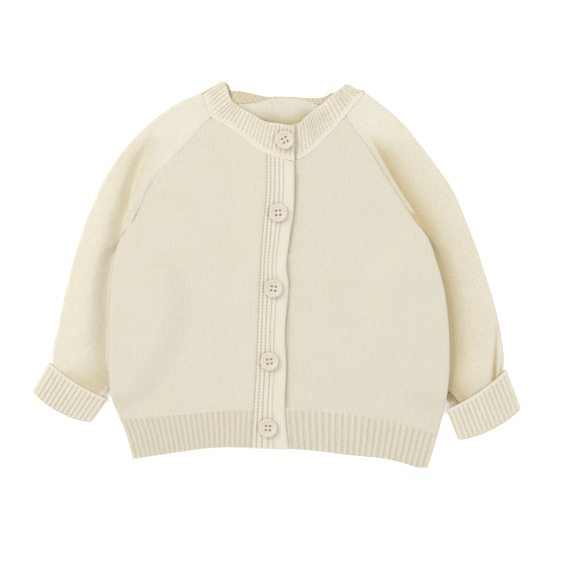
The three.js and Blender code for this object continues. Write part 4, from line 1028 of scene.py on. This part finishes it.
def sleeve_rows(rows, edge, side):
    table = []
    for index, row in enumerate(rows):
        inner, outer = (row["inX"], row["inY"]), (row["outX"], row["outY"])
        sewn = row["crest"] > 1
        start = float(lower_under(*map(np.float64, inner))) + WALL / 2 if sewn else row["top"]
        crest = row["crest"] or max(1, hidden_length(inner, outer, edge, side))
        table.append(dict(row, index=index, start=start, crest=crest, sewn=float(sewn)))
    lengths = [math.hypot(b["outX"] - a["outX"], b["outY"] - a["outY"]) for a, b in zip(rows, rows[1:])]
    spans = [max(2, round(length / SLEEVE_STEP)) for length in lengths]
    fine = [np.linspace(i, i + 1, span, endpoint=False) for i, span in enumerate(spans)]
    fine = np.concatenate([*fine, [len(rows) - 1]])
    keys = SLEEVE_COLUMNS + ["start"]
    values = {key: line_through(table, "index", key)(fine)[:, None] for key in keys}
    values["sewn"] = np.interp(fine, range(len(table)), [row["sewn"] for row in table])[:, None]
    values["crest"] = np.maximum(values["crest"], 1)
    return values


def sleeve_piece(name, rows, edge, side):
    row = sleeve_rows(rows, edge, side)
    length = np.hypot(row["outX"] - row["inX"], row["outY"] - row["inY"]) - WALL / 2
    valley = row["crest"] + VALLEY_WIDTH
    fold_start = length - row["turn"]
    places = [0 * length, row["crest"], valley, mix(valley, fold_start, CROWN_SHARE), fold_start]
    floor = row["base"]
    levels = [row["start"], row["top"], row["dip"], row["crown"], floor + 2 * row["turn"]]
    s, z, across, up, turned = [], [], [], [], []
    for part, spans in enumerate(WAYS_UP):
        t = np.arange(spans) / spans
        run, climb = places[part + 1] - places[part], levels[part + 1] - levels[part]
        s.append(places[part] + run * t)
        z.append(levels[part] + climb * ease(t))
        across.append(-climb * 6 * t * (1 - t) / run)
        up.append(np.ones_like(s[-1]))
        turned.append(np.zeros_like(s[-1]))
    t = np.linspace(0, 1, TURN_SPANS + 1)
    s.append(fold_start + row["turn"] * np.sin(math.pi * t))
    z.append(floor + row["turn"] * (1 + np.cos(math.pi * t)))
    across.append(np.sin(math.pi * t) + 0 * length)
    up.append(np.cos(math.pi * t) + 0 * length)
    turned.append(t + 0 * length)
    t = np.arange(1, BACK_SPANS + 1) / BACK_SPANS
    s.append(fold_start * (1 - t))
    z.append(floor + 0 * s[-1])
    across.append(np.zeros_like(s[-1]))
    up.append(-np.ones_like(s[-1]))
    turned.append(np.ones_like(s[-1]))
    s, z, across, up, turned = (np.concatenate(parts, 1) for parts in (s, z, across, up, turned))
    bow = row["bow"] * 4 * (s / length) * (1 - s / length)
    way_x, way_y = (row["outX"] - row["inX"]) / length, (row["outY"] - row["inY"]) / length
    gap = 2 * SEAM * (1 - s / length)
    x = mix(mix(row["inX"], row["outX"], s / length), mix(row["backX"], row["outX"], s / length), turned)
    y = mix(mix(row["inY"], row["outY"], s / length), mix(row["backY"], row["outY"], s / length), turned)
    x, y = x + way_x * gap + side * way_y * bow, y + way_y * gap - side * way_x * bow
    under_back = row["sewn"] * mix(band_under(x, y), back_under(x, y), ease(1 - s / BACK_RISE))
    free = ease((length - s) / 12) * (turned == 0)
    z = z + np.where(turned == 1, under_back, 0) + lifts(SLEEVE_FOLDS, x, y) * free
    half = WALL / 2 / np.hypot(across, up)
    shift = np.stack([across * way_x * half, across * way_y * half, up * half], 2)
    centre = np.stack([x, y, z], 2)
    dip = SEAM_DIP * near_edge(s) * (turned == 0)
    drop = np.stack([0 * dip, 0 * dip, dip], 2)
    round_tube = np.hypot(np.diff(x, axis=1), np.diff(y, axis=1)) + 0.3 * np.abs(np.diff(z, axis=1))
    girth = np.concatenate([0 * length, np.cumsum(round_tube, axis=1)], 1) - length
    middle = np.stack([np.ravel(row["inX"] + row["outX"]) / 2, np.ravel(row["inY"] + row["outY"]) / 2], 1)
    run = np.r_[0, np.cumsum(np.hypot(*np.diff(middle, axis=0).T))][:, None]
    cloth = np.stack([girth, -run + 0 * girth], 2)
    # Painted warm shade beside the body's edge and down from the crest, plus painted shadows of the left
    # crease and cuff, the right sleeve's fold wedge and the cuff corner; the wedge and corner also darken
    # through the groove mark.
    beside = np.maximum(side * (x - edge(y)), 0)
    low = np.where(y > row["inY"] - 1, s - row["crest"], beside)
    if side > 0:
        low = np.maximum(low, 5 * ease((ARMPIT_TOP - y) / ARMPIT_SOFT))
    depth, width, inner, start = VALLEY_SHADES[side]
    painted_shade = depth * np.exp(-np.maximum(low - inner, 0) / width) * (turned == 0)
    painted_shade = painted_shade * ease((low - start) / VALLEY_SOFT) * ease((SHADE_TOP - y) / SHADE_SOFT)
    wedge = shadows(WEDGE_SHADES, x, y, 1) * (turned < 1)
    painted_shade = painted_shade + shadows(SLEEVE_SHADES, x, y) * (turned < 1) + wedge
    corner = shadows(CORNER_SHADE, x, y)
    painted_shade = np.concatenate([painted_shade.ravel(), corner.ravel()])
    dark = np.concatenate([WEDGE_DARK * wedge.ravel(), CORNER_DARK * corner.ravel()])
    strokes = fashioned(s, row["inY"], turned == 0)
    show, behind = centre + shift - drop, centre - shift
    return sheet(name, show, behind, cloth, groove=dark, valley=painted_shade, strokes=strokes)


SLEEVES = columns(["name", "rows", "edge", "side", "cut", "area"], [
    ["sleeve_left", SLEEVE_LEFT, front_left, -1, (0.17, 0.29), 0.037],
    ["sleeve_right", SLEEVE_RIGHT, front_right, 1, (0.18, 0.3), 0.039],
])
for item in SLEEVES:
    name, cut, area = item["name"], item["cut"], item["area"]
    piece = sleeve_piece("knit_" + name, item["rows"], item["edge"], item["side"])
    finish_sheet(piece, name, plain_knit, purl_knit)

# %% [markdown]
# ## Turned-back cuffs
# A cuff is a ribbed tube that runs down to the wrist, turns over and comes back outside itself.
# Modelling two tubes would leave the turn open, so one surface follows the whole way, station by
# station, and gets its thickness along its own normals. The ribs stand up only on the outside.

# %% Thickness along a surface's own normals
def thicken(surface, wall, rise, closed=False):
    along = np.gradient(surface, axis=0)
    if closed:
        sideways = (np.roll(surface, -1, axis=1) - np.roll(surface, 1, axis=1)) / 2
    else:
        sideways = np.gradient(surface, axis=1)
    out = np.cross(along, sideways)
    out /= np.maximum(np.linalg.norm(out, axis=2, keepdims=True), 1e-9)
    return surface + out * (wall / 2 + rise)[..., None], surface - out * wall / 2, out


print("a normal is worked out at each point")

# %% Cuffs
CUFF_RIBS = 14
CUFF_WALL = 1.4
CUFF_TURN = 1
CUFF_INNER_HALF = 0.95
CUFF_START = 0.14
CUFF_TURN_START = 0.92
CUFF_FLATNESS = 8
CUFF_BACK_POINTS = 40
CUFF_ROLL = 0.8
CUFF_ROLL_PLACE = 0.045
CUFF_INNER_STATIONS = 8
CUFF_TURN_STATIONS = 9
CUFF_RIB_START = 0.14
CUFF_MEASURED = 40
CUFFS = {
    "cuff_left": {
        "armOuter": (-204.8, -80.4), "armInner": (-152, -113.4), "wristOuter": (-219.6, -105.6),
        "wristInner": (-166.5, -134), "armBow": 3, "wristBow": 5.5,
    },
    "cuff_right": {
        "armOuter": (207, -87), "armInner": (153.2, -123), "wristOuter": (220.3, -121.5),
        "wristInner": (163.5, -150), "armBow": 3, "wristBow": 5,
    },
}


def cuff_stations():
    depths = np.linspace(CUFF_START, CUFF_TURN_START, CUFF_INNER_STATIONS, endpoint=False)
    inner = [(depth, 0, 0) for depth in depths]
    turn = []
    for t in np.linspace(0, 1, CUFF_TURN_STATIONS):
        angle = math.pi * t
        depth = CUFF_TURN_START + (1 - CUFF_TURN_START) * math.sin(angle) * 0.9
        turn.append((depth, (1 - math.cos(angle)) / 2, ease(t)))
    back = [(d, 1, 1) for d in np.r_[np.linspace(CUFF_TURN_START, 0.14, 13)[1:], 0.1, 0.07, 0.045, 0.02, 0]]
    return np.array(inner + turn + back)


def cuff_piece(name, corners):
    arm_outer, arm_inner, wrist_outer, wrist_inner = (
        np.array(corners[key], float) for key in ("armOuter", "armInner", "wristOuter", "wristInner")
    )
    outer_half = CUFF_INNER_HALF + 2 * CUFF_TURN
    middle = CUFF_WALL / 2 + outer_half
    way = (wrist_outer + wrist_inner - arm_outer - arm_inner) / 2
    way /= np.linalg.norm(way)
    rises = rib_rises(CUFF_RIBS)
    top = rib_shares(CUFF_RIBS)
    back = (1 + np.cos(np.linspace(0, math.pi, CUFF_BACK_POINTS)[1:-1])) / 2
    shares = np.concatenate([top, back])
    ups = np.concatenate([np.ones(len(top)), -np.ones(len(back))])
    raised = np.concatenate([rises, np.zeros(len(back))])
    stations = cuff_stations()
    surface = np.zeros((len(stations), len(shares), 3))
    for i, (depth, layer, _) in enumerate(stations):
        ends = mix(arm_outer, wrist_outer, depth), mix(arm_inner, wrist_inner, depth)
        inward = (CUFF_WALL / 2 + 2 * CUFF_TURN * (1 - layer)) / np.linalg.norm(ends[1] - ends[0])
        k = mix(inward, 1 - inward, shares)[:, None]
        bow = mix(corners["armBow"], corners["wristBow"], depth) * 4 * k * (1 - k)
        surface[i, :, :2] = mix(ends[0], ends[1], k) + way * bow
        shape = np.sqrt(np.maximum(0, 1 - np.abs(2 * shares - 1) ** CUFF_FLATNESS))
        half = mix(CUFF_INNER_HALF, outer_half, layer)
        surface[i, :, 2] = middle + ups * half * shape
    outside = (np.arange(len(stations)) >= CUFF_INNER_STATIONS + CUFF_TURN_STATIONS)[:, None]
    edge_way = stations[:, :1]
    roll = CUFF_ROLL * np.exp(-(((edge_way - CUFF_ROLL_PLACE) / 0.04) ** 2)) * outside
    plain = near_edge(edge_way, CUFF_RIB_START) * outside
    ribs = RIB_RISE * 1.2 * raised * stations[:, 2:] * (1 - 0.8 * plain)
    rise = ribs * (0.35 + 0.65 * ease(np.minimum(shares, 1 - shares) / 0.14)) + roll
    # Painted shade in the rib grooves, minus a painted highlight along the rolled top edge.
    mark = rib_grooves(raised) * (ups > 0) * stations[:, 2:] * (1 - near_edge(edge_way, 0.16) * outside)
    mark = mark - 0.4 * np.exp(-(((edge_way - 0.03) / 0.05) ** 2)) * outside
    if name == "cuff_left":
        surface = surface[:, ::-1]
        rise, mark = rise[:, ::-1], mark[:, ::-1]
    show, behind, out = thicken(surface, CUFF_WALL, rise, closed=True)
    if out[-4, len(top) // 2 if name == "cuff_right" else -len(top) // 2, 2] < 0:
        show, behind, out = thicken(surface, -CUFF_WALL, -rise, closed=True)
    steps = np.diff(surface[:, CUFF_MEASURED], axis=0)
    lengths = np.r_[0, np.cumsum(np.linalg.norm(steps, axis=1))]
    around = np.r_[top * CUFF_RIBS, CUFF_RIBS + (1 - back) * CUFF_RIBS]
    closing = 2 * CUFF_RIBS
    if name == "cuff_left":
        around = around[::-1]
        closing = around[0] - 2 * CUFF_RIBS
    around = np.r_[around, closing] * RIB_UNIT
    cloth = np.stack(np.broadcast_arrays(around[None, :], lengths[:, None]), 2)
    # Painted shadow where the right sleeve enters its cuff, on both faces.
    corner = shadows(CORNER_SHADE, show[..., 0], show[..., 1]) * (1 - stations[:, 2:])
    corner_behind = shadows(CORNER_SHADE, behind[..., 0], behind[..., 1])
    corner = np.concatenate([corner.ravel(), corner_behind.ravel()])
    return sheet("rib_" + name, show, behind, cloth, closed=True, groove=mark, valley=corner)


for name, corners in CUFFS.items():
    piece = cuff_piece(name, corners)
    finish_sheet(piece, name, rib_knit, rib_knit)

# %% [markdown]
# ## Neckband
# The neckband is one ribbed strip. On the fronts it lies flat, at the shoulders it stands on edge
# and turns, and behind the neck it folds over itself. Five points across it describe each of these
# states, and a smooth curve through them gives the fold. Beside its seam it has a plain strip, where
# the band is linked to the garment stitch by stitch. Behind the neck its inner face is up, so both
# faces carry the painted shade of the rib grooves, and there the band also gets painted warm shade.

# %% Neckband
NECK_RIB_PITCH = 4.3
NECK_PLAIN = 8.5
NECK_SOFT = 0.55
NECK_PLAIN_BACK = 0.8
NECK_LAP = 1
NECK_RIB_RISE = 1
FOLD_SEAT = 0.1
FOLD_SHARE = 0.6
ACROSS = np.array([
    0, 0.05, 0.1, 0.15, 0.2, 0.25, 0.3, 0.36, 0.42, 0.48, 0.55, 0.62, 0.7, 0.85, 1, 1.25, 1.5, 1.7,
    1.85, 2, 2.15, 2.3, 2.5, 2.75, 3, 3.3, 3.6, 3.8, 3.92, 4,
])
NECK_BEAD = 0.35
NECK_BEAD_RUN = 2
NECK_DOTS = 1.3
NECK_DOTS_BACK = 1.2
# Painted warm shade on the band behind the neck, and a painted shadow on the lower band beside the upper
# band's end.
NECK_PAINTED_SHADE = 0.55
NECK_END_X = 16.2
NECK_END_SHADE = columns(SHADE_COLUMNS, [[17, 133, 17, 99, 1.3, 0.5]])


def flat_section(at, under):
    shares = [0, 0.5]
    ends = [(at["seam"], at["fold"]), (at["fold"], at["free"])]
    points = [mix(a, b, t) for a, b in ends for t in shares] + [at["free"]]
    return np.array([(*p, float(under(p[0], p[1])) + RIB_WALL / 2) for p in points])


def folded_section(at):
    half = RIB_WALL / 2
    top = float(back_under(*at["seam"])) + half + FOLD_SEAT
    turn = (top - half) / 2
    upper = mix(at["fold"], at["seam"], min(FOLD_SHARE, turn / np.linalg.norm(at["fold"] - at["seam"])))
    lower = mix(at["fold"], at["free"], turn / np.linalg.norm(at["fold"] - at["free"]))
    places = [at["seam"], upper, at["fold"], lower, at["free"]]
    return np.array([(*p, z) for p, z in zip(places, [top, top, (top + half) / 2, half, half])])


SECTIONS = {
    "upper": lambda at: flat_section(at, upper_under),
    "lower": lambda at: flat_section(at, lower_under),
    "turn": lambda at: flat_section(at, lambda x, y: lower_under(x, y) / 2),
    "floor": lambda at: flat_section(at, lambda x, y: 0),
    "folded": folded_section,
}


def neckband_stations():
    stations = []
    for i, (row, following) in enumerate(zip(NECKBAND, NECKBAND[1:])):
        seam = math.hypot(following["seamX"] - row["seamX"], following["seamY"] - row["seamY"])
        free = math.hypot(following["freeX"] - row["freeX"], following["freeY"] - row["freeY"])
        ribs = max(1, round(max(seam, free) / NECK_RIB_PITCH))
        for rib in range(ribs):
            for point in RIB_SECTION:
                stations.append((i, (rib + point["place"]) / ribs, point["rise"]))
    stations.append((len(NECKBAND) - 2, 1, 0))
    return stations


def neckband_piece():
    table = [dict(row, index=index) for index, row in enumerate(NECKBAND)]
    for row in table:
        if row["lay"] != "folded":
            wide = math.hypot(row["seamX"] - row["foldX"], row["seamY"] - row["foldY"])
            row["seamX"] += NECK_LAP * (row["seamX"] - row["foldX"]) / wide
            row["seamY"] += NECK_LAP * (row["seamY"] - row["foldY"]) / wide
    keys = ("seamX", "seamY", "foldX", "foldY", "freeX", "freeY")
    lines = {key: line_through(table, "index", key) for key in keys}
    surface, rises, plains = [], [], []
    for i, t, rise in neckband_stations():
        at = {
            key: np.array([float(lines[key + "X"](i + t)), float(lines[key + "Y"](i + t))])
            for key in ("seam", "fold", "free")
        }
        first, second = NECKBAND[i]["lay"], NECKBAND[i + 1]["lay"]
        section = SECTIONS[first](at)
        if second != first:
            section = mix(section, SECTIONS[second](at), t)
        knots = [{"place": n, "x": p[0], "y": p[1], "z": p[2]} for n, p in enumerate(section)]
        surface.append(np.stack([line_through(knots, "place", axis)(ACROSS) for axis in "xyz"], 1))
        rises.append(rise)
        ends = [NECK_PLAIN if lay in ("upper", "lower") else NECK_PLAIN_BACK for lay in (first, second)]
        plains.append(mix(ends[0], ends[1], t))
    surface = np.array(surface)
    plain = np.array(plains)[:, None]
    width = np.linalg.norm(np.diff(surface, axis=1), axis=2)
    run = np.concatenate([np.zeros((len(surface), 1)), np.cumsum(width, axis=1)], 1)
    strip = ease((run - plain + 0.6) / 1.6) * (1 - 0.9 * near_edge(run[:, -1:] - run, 3))
    bead = NECK_BEAD * np.exp(-((run - NECK_BEAD_RUN) ** 2)) - 0.9 * near_edge(run, 1.6)
    rises = np.array(rises)[:, None]
    soft = mix(1, NECK_SOFT, ease((plain - NECK_PLAIN_BACK) / 3))
    rise = NECK_RIB_RISE * (0.4 + 0.6 * soft) * rises * strip + bead
    show, behind, out = thicken(surface, RIB_WALL, rise)
    if out[4, 3, 2] < 0:
        show, behind, out = thicken(surface, -RIB_WALL, -rise)
    phase = np.concatenate([[0], np.cumsum(np.full(len(rises) - 1, 1 / len(RIB_SECTION)))])
    cloth = np.stack(np.broadcast_arrays(phase[:, None] * RIB_UNIT, run), 2)
    # Painted shade: dots at the foot of the ribs along the linking row and shade in the rib grooves, minus
    # a painted highlight along the bead; the inner face gets painted shade in its grooves.
    dots = NECK_DOTS * np.exp(-((run - plain + 0.9) ** 2)) * (rises < 0.3)
    mark = np.maximum(dots, NECK_DOTS * rib_grooves(rises) * strip * soft)
    mark = mark - 0.3 * np.exp(-(((run - NECK_BEAD_RUN) / 0.9) ** 2))
    inner_mark = NECK_DOTS_BACK * rib_grooves(rises) * strip
    marks = np.concatenate([mark.ravel(), inner_mark.ravel()])
    # Painted shadow beside the upper band's end, and painted warm shade where the band lies behind the
    # neck.
    painted_shade = shadows(NECK_END_SHADE, show[..., 0], show[..., 1]) * (show[..., 0] > NECK_END_X)
    painted_shade = painted_shade + NECK_PAINTED_SHADE * (1 - ease((plain - NECK_PLAIN_BACK) / 2))
    painted_shade = np.concatenate([painted_shade.ravel(), painted_shade.ravel()])
    return sheet("rib_neckband", show, behind, cloth, groove=marks, valley=painted_shade)


neckband = neckband_piece()
finish_sheet(
    neckband, ("neckband_left", "neckband_back", "neckband_right"), rib_knit, rib_knit,
)

# %% [markdown]
# ## Buttons
# Each button is a small turned disc of pale resin with a raised rim, a shallow dish and four holes.
# It could be a lathe profile, but working as by hand is just as quick: a cylinder is added at its
# real size, its top face is inset and pushed down for the dish, the edges are bevelled, and four
# thin cylinders are cut out of it. One button is modelled, and the five are copies with their own
# mesh. Two stitches of thread join its holes: half a ring of a small circle, spun and flattened.

# %% Helpers for modelling by hand
def start_clean():
    bpy.ops.object.select_all(action="DESELECT")


def pick(piece, wanted, kind="faces"):
    work = bmesh.from_edit_mesh(piece.data)
    bpy.ops.mesh.select_all(action="DESELECT")
    for part in getattr(work, kind):
        if wanted(part):
            part.select = True
    work.select_flush(True)
    bmesh.update_edit_mesh(piece.data)


def push(x=0.0, y=0.0, z=0.0):
    return {"value": (x, y, z)}


print("helpers ready")

# %% The button's body
BUTTON_RADIUS = 8.3 * MM
BUTTON_HEIGHT = 3.2 * MM
BUTTON_RIM = 2.1 * MM
BUTTON_DISH = 0.9 * MM
BUTTON_ROUND = 0.45 * MM
BUTTON_FOOT = 1.4 * MM
BUTTON_FOOT_DROP = 0.1 * MM

start_clean()
bpy.ops.mesh.primitive_cylinder_add(
    vertices=56, radius=BUTTON_RADIUS, depth=BUTTON_HEIGHT, location=(0, 0, BUTTON_HEIGHT / 2)
)
button = bpy.context.object
bpy.ops.object.transform_apply(location=True, rotation=True, scale=True)
bpy.ops.object.mode_set(mode="EDIT")
bpy.context.tool_settings.mesh_select_mode = (False, False, True)
pick(button, lambda face: face.normal.z > 0.9)
bpy.ops.mesh.inset(thickness=BUTTON_RIM)
bpy.ops.mesh.extrude_region_move(TRANSFORM_OT_translate=push(z=-BUTTON_DISH))
bpy.ops.transform.resize(value=(0.86, 0.86, 1))
pick(button, lambda face: face.normal.z < -0.9)
bpy.ops.mesh.inset(thickness=BUTTON_FOOT)
bpy.ops.transform.translate(value=(0, 0, -BUTTON_FOOT_DROP))
bpy.ops.object.mode_set(mode="OBJECT")
rounding = button.modifiers.new("rounding", "BEVEL")
rounding.width = BUTTON_ROUND
rounding.segments = 4
rounding.limit_method = "ANGLE"
rounding.angle_limit = math.radians(40)
bpy.ops.object.modifier_apply(modifier=rounding.name)
print("button body:", len(button.data.polygons), "faces")

# %% Its four holes
HOLE_RADIUS = 1.05 * MM
HOLE_SPACING = 3.6 * MM

for side_x in (-1, 1):
    for side_y in (-1, 1):
        start_clean()
        bpy.ops.mesh.primitive_cylinder_add(
            vertices=20, radius=HOLE_RADIUS, depth=4 * BUTTON_HEIGHT,
            location=(side_x * HOLE_SPACING / 2, side_y * HOLE_SPACING / 2, BUTTON_HEIGHT / 2),
        )
        drill = bpy.context.object
        start_clean()
        button.select_set(True)
        bpy.context.view_layer.objects.active = button
        cut = button.modifiers.new("hole", "BOOLEAN")
        cut.object = drill
        cut.operation = "DIFFERENCE"
        bpy.ops.object.modifier_apply(modifier=cut.name)
        bpy.data.objects.remove(drill)
bpy.ops.object.shade_smooth_by_angle(angle=math.radians(35))
print("button with holes:", len(button.data.polygons), "faces")

# %% The sewing thread
THREAD_RADIUS = 0.34 * MM
THREAD_FLATNESS = 0.45
start_clean()
bpy.ops.mesh.primitive_circle_add(vertices=8, radius=THREAD_RADIUS, location=(0, -HOLE_SPACING / 2, 0))
thread = bpy.context.object
bpy.ops.object.transform_apply(location=True, rotation=True, scale=True)
bpy.ops.object.mode_set(mode="EDIT")
bpy.ops.mesh.select_all(action="SELECT")
bpy.ops.mesh.spin(steps=12, angle=-math.pi, center=(0, 0, 0), axis=(1, 0, 0))
bpy.ops.mesh.select_all(action="SELECT")
bpy.ops.transform.resize(value=(1, 1, THREAD_FLATNESS), center_override=(0, 0, 0))
bpy.ops.mesh.normals_make_consistent(inside=False)
bpy.ops.object.mode_set(mode="OBJECT")
bpy.ops.object.shade_smooth()
thread_top = max(v.co.z for v in thread.data.vertices)
print("one stitch of thread:", len(thread.data.vertices), "points, top at", round(thread_top / MM, 2))

# %% Resin and thread materials
RESIN = (0.63, 0.555, 0.465)
RESIN_PALE = (0.73, 0.655, 0.555)
THREAD = (0.84, 0.79, 0.67)
THREAD_PALE = (0.95, 0.92, 0.84)


def resin_material():
    material = bpy.data.materials.new("pale ivory resin")
    material.use_nodes = True
    tree = material.node_tree
    shader = tree.nodes["Principled BSDF"]
    place = tree.nodes.new("ShaderNodeTexCoord").outputs["Object"]
    cloud = noise(tree, place, 240, 4)
    tree.links.new(colour_mix(tree, cloud, RESIN, RESIN_PALE), shader.inputs["Base Color"])
    scuff = noise(tree, place, 1500, 2)
    tree.links.new(maths(tree, "MULTIPLY_ADD", scuff, 0.2, 0.28), shader.inputs["Roughness"])
    shader.inputs["Specular IOR Level"].default_value = 0.5
    shader.inputs["Coat Weight"].default_value = 0.2
    return material


def thread_material():
    material = bpy.data.materials.new("cream sewing thread")
    material.use_nodes = True
    tree = material.node_tree
    shader = tree.nodes["Principled BSDF"]
    place = tree.nodes.new("ShaderNodeTexCoord").outputs["Object"]
    twist = tree.nodes.new("ShaderNodeTexWave")
    twist.bands_direction = "DIAGONAL"
    twist.inputs["Scale"].default_value = 900
    tree.links.new(place, twist.inputs["Vector"])
    twisted = colour_mix(tree, twist.outputs["Fac"], THREAD, THREAD_PALE)
    tree.links.new(twisted, shader.inputs["Base Color"])
    shader.inputs["Roughness"].default_value = 0.8
    return material


ivory = resin_material()
cream_thread = thread_material()
print("materials:", ivory.name, "/", cream_thread.name)

# %% Five buttons, each with its thread
BUTTONS = columns(["x", "y", "turn"], [
    [7.5, 119.3, 0.52], [1.5, 54, 0.06], [-2.7, -13.9, -0.12], [-6.3, -79.4, 0.1], [-7.7, -139.1, -0.05],
])
BUTTON_SEAT = 0.5
THREAD_SINK = 0.15 * MM


def placed_copy(source, name, matrix):
    piece = bpy.data.objects.new(name, source.data.copy())
    bpy.context.scene.collection.objects.link(piece)
    piece.data.transform(matrix)
    return piece


for number, row in enumerate(BUTTONS, 1):
    level = float(upper_under(row["x"], row["y"])) + RIB_WALL + RIB_RISE + BUTTON_SEAT
    spot = Matrix.Translation(Vector((row["x"], row["y"], level)) * MM)
    spot = spot @ Matrix.Rotation(row["turn"], 4, "Z")
    disc = placed_copy(button, f"button_disc_{number}", spot)
    disc.data.materials.append(ivory)
    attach(disc, "root")
    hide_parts(f"button_{number}")
    for part, side in enumerate((-1, 1), 1):
        height = BUTTON_HEIGHT - BUTTON_DISH - THREAD_SINK
        seat = Matrix.Translation((side * HOLE_SPACING / 2, 0, height))
        stitch = placed_copy(thread, f"button_thread_{number}_{part}", spot @ seat)
        stitch.data.materials.append(cream_thread)
        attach(stitch, "root")
bpy.data.objects.remove(button)
bpy.data.objects.remove(thread)
print(len(BUTTONS), "buttons")

# %% [markdown]
# ## Table, light and camera
# The photograph was taken straight down in very soft light, a little stronger from the left, on
# white. A long lens keeps the sides from leaning outwards. A pale floor gives the soft contact
# shadows that show how thick the cloth is.

# %% Table
bpy.ops.object.select_all(action="DESELECT")
bpy.ops.mesh.primitive_plane_add(size=6, location=(0, 0, -0.0004))
floor = bpy.context.object
floor.name = "floor"
paper = bpy.data.materials.new("white paper")
paper.use_nodes = True
paper_shader = paper.node_tree.nodes["Principled BSDF"]
paper_shader.inputs["Base Color"].default_value = (0.95, 0.95, 0.95, 1)
paper_shader.inputs["Emission Color"].default_value = (1, 1, 1, 1)
paper_shader.inputs["Emission Strength"].default_value = 0.2
paper_shader.inputs["Roughness"].default_value = 0.9
floor.data.materials.append(paper)
print("floor is", tuple(round(v, 2) for v in floor.dimensions), "m")

# %% Light
def softbox(name, place, size, power, colour):
    lamp = bpy.data.lights.new(name, "AREA")
    lamp.shape = "DISK"
    lamp.size = size
    lamp.energy = power
    lamp.color = colour
    light = bpy.data.objects.new(name, lamp)
    light.location = place
    light.rotation_euler = (-Vector(place)).to_track_quat("-Z", "Y").to_euler()
    bpy.context.scene.collection.objects.link(light)
    return light


softbox("key", (-1.0, 0.7, 1.15), 1.0, 9.5, (1.0, 0.985, 0.96))
softbox("fill", (1.1, -0.4, 1.5), 1.2, 5, (0.96, 0.98, 1.0))
world = bpy.data.worlds.new("studio")
world.use_nodes = True
world.node_tree.nodes["Background"].inputs["Color"].default_value = (1.0, 1.0, 1.0, 1)
world.node_tree.nodes["Background"].inputs["Strength"].default_value = 0.88
bpy.context.scene.world = world
bpy.context.scene.view_settings.view_transform = "Standard"
print("two softboxes and a white room")

# %% Camera
PIXEL = 0.9
PICTURE = 576
LENS = 85
SENSOR = 36
VIEW_CENTRE = (10.35, -13.5)
CLOTH_LEVEL = 5

camera_data = bpy.data.cameras.new("camera")
camera_data.lens = LENS
camera_data.sensor_width = SENSOR
camera = bpy.data.objects.new("camera", camera_data)
distance = PIXEL * PICTURE * LENS / SENSOR
camera.location = Vector((*VIEW_CENTRE, CLOTH_LEVEL + distance)) * MM
bpy.context.scene.collection.objects.link(camera)
bpy.context.scene.camera = camera
print("the camera is", round(distance / 1000, 3), "m above the cloth")
